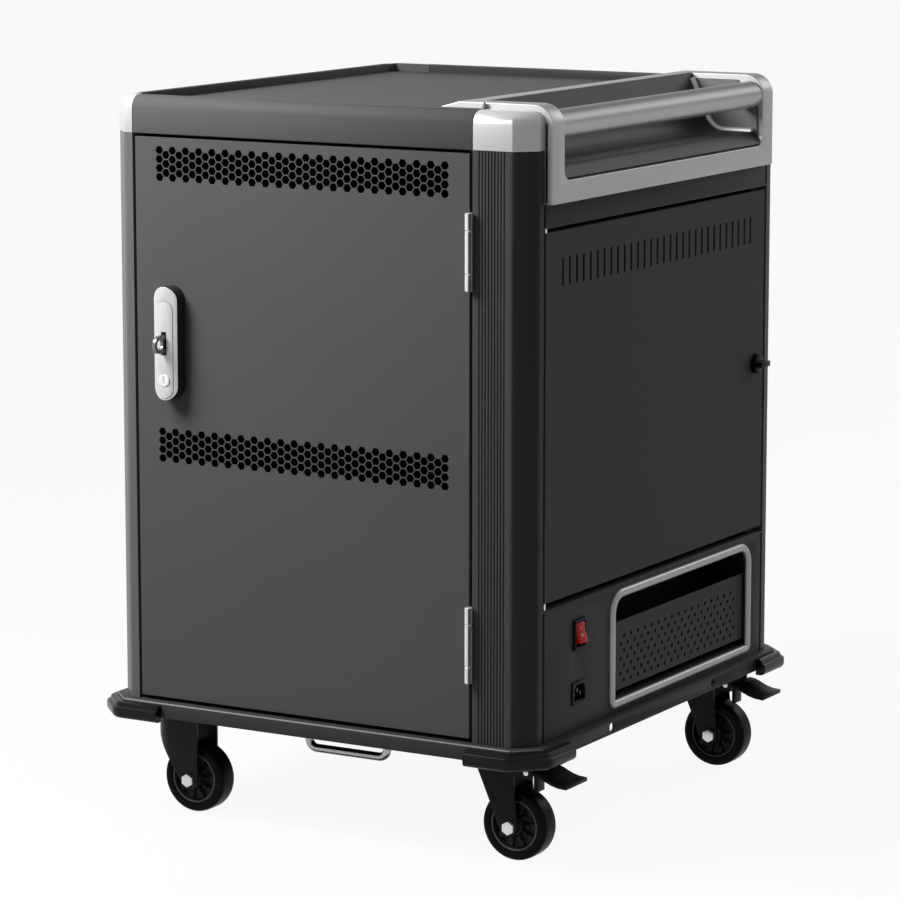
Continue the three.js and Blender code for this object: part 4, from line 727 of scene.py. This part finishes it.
def line_normals(line, sign, least=0.5):
    """Normals along a flat line, stretched at its bends so that a swept piece keeps its width."""
    normals = []
    for i, _ in enumerate(line):
        before = (line[i] - line[i - 1]).normalized() if i else (line[1] - line[0]).normalized()
        after = (line[i + 1] - line[i]).normalized() if i + 1 < len(line) else before
        middle = (before + after).normalized()
        stretch = 1 / max(middle.dot(before), least)
        normals.append((middle.y * sign * stretch, -middle.x * sign * stretch))
    return normals


low, high = millimetres("handle_housing")
# Black strips of painted shadow in the gaps at both ends of the handle
gap_shade_x = high.x - GAP_SHADE["behind_face"]
for name, y in (("front", low.y - GAP_SHADE["thick"]), ("rear", high.y)):
    gap_shade_strip = box_mesh(
        f"handle_painted_shadow_{name}", (gap_shade_x, y, low.z + GAP_SHADE["foot"]),
        (gap_shade_x + GAP_SHADE["wide"], y + GAP_SHADE["thick"], high.z - GAP_SHADE["head"]),
    )
    add_piece(f"handle_painted_shadow_{name}", gap_shade_strip, "handle_housing", material=finishes["black_plastic"])
stud_place = Vector((high.x - STUD["x"], low.y - STUD["y"], high.z - STUD["z"])) * MM
stud = lathe("handle_stud", STUD_OUTLINE, stud_place, "z", STUD_SIDES)
add_piece("handle_stud", stud, "cap_front_right", material=end_wall_grey)

low, high = millimetres("handle_liner")
bead_line = scoop_line()
half_round = [
    (BEAD_RADIUS * math.sin(math.pi * i / BEAD_STEPS), BEAD_RADIUS * math.cos(math.pi * i / BEAD_STEPS))
    for i in range(BEAD_STEPS + 1)
]
for name, y in (("front", low.y + LINER_SHEET + BEAD_RADIUS), ("rear", high.y - LINER_SHEET - BEAD_RADIUS)):
    bead = sweep(
        f"scoop_bead_{name}", bead_line, line_normals(bead_line, 1), half_round,
        lambda a, b, up: Vector((a, y + up, b)) * MM, closed=False,
    )
    add_piece(f"scoop_bead_{name}", bead, "handle_housing", smooth=50)

# Shell: caps, cover, panels, posts and base with rounded edges

RIB_FACING = 0.9
CAP_INSIDE = -0.5
FACING_UP = 0.97
EDGE_RISE = 0.3


def faces_inwards(face):
    """Whether a cap's face looks back towards the middle of the cart."""
    return face.normal.xy.dot(face.center.xy.normalized()) < CAP_INSIDE


for corner in ("front_right", "front_left", "rear_right", "rear_left"):
    cap = refined(f"cap_{corner}", 0.9, steps=3, sharp=40, smooth=36)
    recolour(cap, finishes["charcoal_paint"], faces_inwards)
    narrow = corner in ("front_left", "rear_right")
    # The narrow posts take a lighter grey, partly their own paint and partly painted light
    painted_post_light = narrow_post_painted_light if narrow else None
    post = refined(
        f"post_{corner}", 3.0, steps=4, sharp=40, blunt=46, smooth=30, material=painted_post_light
    )
    # The wide posts' front and rear faces take painted light: a lighter grey for the highlights on their ribs
    recolour(post, rib_painted_light, lambda face: not narrow and abs(face.normal.y) > RIB_FACING)
cover = refined("top_cover", 0.8, sharp=60, smooth=50)
# The cover's upward faces take painted shade, a darker grey than its other faces
recolour(cover, tray_painted_shade, lambda face: face.normal.z > FACING_UP)
# The tray's rear inner wall takes the darker post paint as painted shade
recolour(cover, finishes["post_paint"], lambda face: face.normal.y < -RIB_FACING and face.center.y > 0)
refined("right_side_panel", 0.5)
refined("left_side_panel", 0.5)
base = refined("base_frame", 1.4, sharp=40, material=base_paint)
# The base's rounded front top edge takes a painted highlight
recolour(base, base_painted_highlight, lambda face: face.normal.z > EDGE_RISE and face.normal.y < -EDGE_RISE)

# Bumpers: a stepped section carried round each corner

BUMPER_SECTION = (
    (0, 0), (6.5, 0), (9.4, 1), (11, 2.8), (11.7, 5), (11.7, 10), (11.1, 11.8), (9.6, 12.8), (8.3, 13.2),
    (7.8, 13.9), (7.6, 15.1), (6.9, 16.7), (5.2, 17.7), (3, 18), (0, 18),
)
BUMPER_FILLET = 8
BUMPER_REACH = max(outward for outward, _ in BUMPER_SECTION)
BUMPER_END = 1
BUMPER_CORNERS = {"front_right": (1, -1), "front_left": (-1, -1), "rear_right": (1, 1), "rear_left": (-1, 1)}

# The cut across each corner: the cabinet's chamfer, carried out to the bumper's inner face
CORNER_CHAMFER = 19.5
BUMPER_STANDOFF = 10.3
BUMPER_CHAMFER = CORNER_CHAMFER + BUMPER_STANDOFF * (2 - math.sqrt(2))


def filleted(line, radius, steps=6):
    """An open line with its inner corners rounded."""
    points = [line[0]]
    for before, corner, after in zip(line, line[1:], line[2:]):
        to_before = (before - corner).normalized()
        to_after = (after - corner).normalized()
        reach = radius * math.tan((math.pi - to_before.angle(to_after)) / 2)
        start, end = corner + to_before * reach, corner + to_after * reach
        for i in range(steps + 1):
            t = i / steps
            points.append(start * (1 - t) ** 2 + corner * 2 * t * (1 - t) + end * t ** 2)
    points.append(line[-1])
    return points


for corner, (sx, sy) in BUMPER_CORNERS.items():
    node = f"bumper_{corner}"
    low, high = millimetres(node)
    x_inner = (high.x if sx > 0 else low.x) - sx * BUMPER_REACH
    y_inner = (high.y if sy > 0 else low.y) - sy * BUMPER_REACH
    x_end = (low.x if sx > 0 else high.x) + sx * BUMPER_END
    y_end = (low.y if sy > 0 else high.y) + sy * BUMPER_END
    line = [
        Vector((x_end, y_inner)),
        Vector((x_inner - sx * BUMPER_CHAMFER, y_inner)),
        Vector((x_inner, y_inner - sy * BUMPER_CHAMFER)),
        Vector((x_inner, y_end)),
    ]
    path = filleted(line, BUMPER_FILLET)
    outward = line_normals(path, -sx * sy)
    bumper = sweep(
        f"{node}_shown", path, outward, BUMPER_SECTION,
        lambda a, b, up: Vector((a, b, low.z + up)) * MM, closed=False,
    )
    add_piece(f"{node}_shown", bumper, node, replaces=[node], smooth=35)

# Wire pull: a bent rod

BEND = 10
BEND_STEPS = 8
ROD_SIDES = 24
low, high = millimetres("wire_pull")
rod_radius = (high.y - low.y) / 2
x0, x1 = low.x + rod_radius, high.x - rod_radius
wire_y, wire_low = (low.y + high.y) / 2, low.z + rod_radius
route = [Vector((x0, high.z))]
for centre_x, start in ((x0 + BEND, 180), (x1 - BEND, 270)):
    for i in range(BEND_STEPS + 1):
        angle = math.radians(start + 90 * i / BEND_STEPS)
        route.append(Vector((centre_x + BEND * math.cos(angle), wire_low + BEND + BEND * math.sin(angle))))
route.append(Vector((x1, high.z)))
wire = sweep(
    "wire_pull_shown", route, line_normals(route, 1), circle(0, 0, rod_radius, ROD_SIDES),
    lambda a, b, up: Vector((a, wire_y + up, b)) * MM, closed=False,
)
add_piece("wire_pull_shown", wire, "wire_pull", material=wire_chrome_painted_reflection, replaces=["wire_pull"])

# Casters: tyre, ribbed hub with a light ring, forks, bolts, pedals and their rivets

TYRE_SIDE = [
    (37.5, 0), (37.5, 7.6), (37.3, 9.4), (36.7, 11), (35.6, 12.2), (34, 12.9), (32, 13), (28.6, 13),
]
HUB_FACE = [
    (28.4, 11.6), (26.6, 12.2), (25.2, 11.8), (24.4, 9.4), (24, 5.4), (11.2, 5), (10.4, 9.6), (9.6, 14.2),
    (8.6, 14.9), (4.6, 14.9),
]
HUB_RING = [(26.9, 12.1), (26.4, 12.5), (25.6, 12.4), (25.2, 11.9), (26, 11.6)]
SPOKES = 10
SPOKE_REACH = (11, 24)
SPOKE_HALF_ANGLE = math.radians(9)
SPOKE_LEVELS = (4.5, 8.4)
SPOKE_EDGE = 0.4
BLOCK_LOW = (12.5, -1.7, 5)
BLOCK_HIGH = (17.5, 1.7, 10.6)


def wedge(name):
    """One flat spoke that widens outwards, lying along X with its face up."""
    form = bmesh.new()
    loops = []
    for level in SPOKE_LEVELS:
        near, far = SPOKE_REACH
        corners = ((near, -1), (far, -1), (far, 1), (near, 1))
        cosine, sine = math.cos(SPOKE_HALF_ANGLE), math.sin(SPOKE_HALF_ANGLE)
        points = [Vector((r * cosine, side * r * sine, level)) * MM for r, side in corners]
        loops.append([form.verts.new(point) for point in points])
    form.faces.new(loops[0])
    form.faces.new(loops[1])
    for i in range(4):
        k = (i + 1) % 4
        form.faces.new((loops[0][i], loops[0][k], loops[1][k], loops[1][i]))
    bmesh.ops.recalc_face_normals(form, faces=form.faces)
    bmesh.ops.bevel(form, geom=form.edges[:], offset=SPOKE_EDGE * MM, segments=1, affect="EDGES")
    return mesh_of(name, form)


for name in ("front_left", "front_right", "rear_left", "rear_right"):
    node = f"wheel_{name}"
    low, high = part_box(node)
    centre = (low + high) / 2
    tyre_profile = TYRE_SIDE[::-1] + [(r, -h) for r, h in TYRE_SIDE[1:]]
    tyre = lathe(f"{node}_tyre", tyre_profile, centre, "y", ROUND_SIDES)
    add_piece(f"{node}_tyre", tyre, node, replaces=[node], smooth=35)
    hub_profile = HUB_FACE + [(r, -h) for r, h in reversed(HUB_FACE)]
    hub = lathe(f"{node}_hub", hub_profile, centre, "y", ROUND_SIDES)
    add_piece(f"{node}_hub", hub, node, material=hub_black, smooth=30)
    for face_sign, label in ((-1, "near"), (1, "far")):
        ring_profile = [(r, h * face_sign) for r, h in HUB_RING]
        ring_mesh = lathe(f"{node}_ring_{label}", ring_profile, centre, "y", ROUND_SIDES)
        add_piece(f"{node}_ring_{label}", ring_mesh, node, material=hub_ring, smooth=60)
        lay = Matrix(((1, 0, 0, 0), (0, 0, face_sign, 0), (0, 1, 0, 0), (0, 0, 0, 1)))
        spokes = []
        for i in range(SPOKES):
            turn = Matrix.Rotation(2 * math.pi * i / SPOKES, 4, "Z")
            for part in (wedge("spoke"), box_mesh("block", BLOCK_LOW, BLOCK_HIGH)):
                part.transform(Matrix.Translation(centre) @ lay @ turn)
                spokes.append(part)
        add_piece(f"{node}_spokes_{label}", joined("spokes", spokes), node, material=hub_black)
    refined(f"axle_bolt_{name}", 0.7)

RIVET_RADIUS = 2.9
RIVET_CROWN = 1.7
RIVET_START = 0.2
RIVET_EDGE = 0.5
RIVET_ROUND = 0.2
RIVET_RISE = 1.6
RIVET_SIDES = 32
joint_place = {joint["name"]: Vector(joint["pos_m"]) for joint in frame["record"]["behaviour"]["joints"]}
for end in ("front", "rear"):
    refined(f"rigid_fork_{end}", 0.6, material=fork_paint)
    refined(f"swivel_fork_{end}", 0.6)
    refined(f"swivel_plate_{end}", 0.5)
    refined(f"brake_pedal_{end}", 1.0, smooth=45)
    fork_low, fork_high = millimetres(f"swivel_fork_{end}")
    pivot = joint_place[f"pedal_{end}_press"]
    heads = []
    for face, sign in ((fork_low.y, -1), (fork_high.y, 1)):
        start, top = face + sign * RIVET_START, face + sign * RIVET_RISE
        dome = [
            (0, start),
            (RIVET_RADIUS, start),
            (RIVET_RADIUS, start + sign * RIVET_EDGE),
            (RIVET_CROWN, top - sign * RIVET_ROUND),
            (0, top),
        ]
        heads.append(lathe("rivet", dome, Vector((pivot.x, 0, pivot.z)), "y", RIVET_SIDES))
    add_piece(f"pedal_rivets_{end}", joined("rivets", heads), f"brake_pedal_{end}", material=finishes["zinc"])


# Floor, light and camera

FLOOR_HALF = 30
FLOOR_LIT = (0.35, 0.35, 0.35, 1)
FLOOR_SEEN = (0.9, 0.9, 0.9, 1)
FLOOR_ROUGHNESS = 0.9
FLOOR_SPECULAR = 0.1
FLOOR_GLOW_SHARE = 0.93
STUDIO_WHITE = (1, 1, 1, 1)
STUDIO_STRENGTH = 0.18
BACKDROP_STRENGTH = 1.0
CAMERA_PLACE = (2.13209, -3.70209, 1.09593)
CAMERA_DOWN = 0.16646
CAMERA_TURN = 0.52399
CAMERA_LENS = 157.6
CAMERA_SENSOR = 36


def light(name, place, target, size, power):
    lamp = bpy.data.lights.new(name, "AREA")
    lamp.shape = "RECTANGLE"
    lamp.size, lamp.size_y = size
    lamp.energy = power
    holder = bpy.data.objects.new(name, lamp)
    holder.location = place
    holder.rotation_euler = (Vector(target) - Vector(place)).to_track_quat("-Z", "Y").to_euler()
    holder.visible_camera = False
    bpy.context.scene.collection.objects.link(holder)


def white_where_seen(tree, plain, seen, output):
    """Shows one shader to the rays that only look at it, and lights the object with another."""
    rays = tree.nodes.new("ShaderNodeLightPath")
    mirror = tree.nodes.new("ShaderNodeMath")
    mirror.operation = "MAXIMUM"
    tree.links.new(rays.outputs["Is Glossy Ray"], mirror.inputs[0])
    tree.links.new(rays.outputs["Is Transmission Ray"], mirror.inputs[1])
    looking = tree.nodes.new("ShaderNodeMath")
    looking.operation = "MAXIMUM"
    tree.links.new(rays.outputs["Is Camera Ray"], looking.inputs[0])
    tree.links.new(mirror.outputs["Value"], looking.inputs[1])
    mix = tree.nodes.new("ShaderNodeMixShader")
    tree.links.new(looking.outputs["Value"], mix.inputs["Fac"])
    tree.links.new(plain, mix.inputs[1])
    tree.links.new(seen, mix.inputs[2])
    tree.links.new(mix.outputs["Shader"], tree.nodes[output].inputs["Surface"])


floor_material = bpy.data.materials.new("floor")
floor_material.use_nodes = True
tree = floor_material.node_tree
floor_shader = tree.nodes["Principled BSDF"]
floor_shader.inputs["Base Color"].default_value = FLOOR_LIT
floor_shader.inputs["Roughness"].default_value = FLOOR_ROUGHNESS
floor_shader.inputs["Specular IOR Level"].default_value = FLOOR_SPECULAR
glow = tree.nodes.new("ShaderNodeEmission")
pale = tree.nodes.new("ShaderNodeBsdfDiffuse")
pale.inputs["Color"].default_value = FLOOR_SEEN
shown = tree.nodes.new("ShaderNodeMixShader")
shown.inputs["Fac"].default_value = FLOOR_GLOW_SHARE
tree.links.new(pale.outputs["BSDF"], shown.inputs[1])
tree.links.new(glow.outputs["Emission"], shown.inputs[2])
white_where_seen(tree, floor_shader.outputs["BSDF"], shown.outputs["Shader"], "Material Output")
floor_form = bmesh.new()
bmesh.ops.create_grid(floor_form, x_segments=1, y_segments=1, size=FLOOR_HALF)
floor_mesh = mesh_of("floor", floor_form)
floor_mesh.materials.append(floor_material)
floor_object = bpy.data.objects.new("floor", floor_mesh)
bpy.context.scene.collection.objects.link(floor_object)

world = bpy.data.worlds.new("studio")
world.use_nodes = True
bpy.context.scene.world = world
tree = world.node_tree
soft = tree.nodes["Background"]
soft.inputs["Color"].default_value = STUDIO_WHITE
soft.inputs["Strength"].default_value = STUDIO_STRENGTH
white = tree.nodes.new("ShaderNodeBackground")
white.inputs["Strength"].default_value = BACKDROP_STRENGTH
white_where_seen(tree, soft.outputs["Background"], white.outputs["Background"], "World Output")

light("key", place=(-0.7, -0.98, 1.5), target=(0, -0.2, 0.55), size=(0.7, 0.7), power=34)
light("rear", place=(1.2, 3.0, 2.2), target=(0, 0, 0.4), size=(1.6, 1.6), power=24)

camera_data = bpy.data.cameras.new("camera")
camera_data.sensor_width = CAMERA_SENSOR
camera_data.lens = CAMERA_LENS
camera = bpy.data.objects.new("camera", camera_data)
camera.location = CAMERA_PLACE
camera.rotation_euler = (math.pi / 2 - CAMERA_DOWN, 0, CAMERA_TURN)
bpy.context.scene.collection.objects.link(camera)
bpy.context.scene.camera = camera
bpy.context.scene.view_settings.view_transform = "Standard"
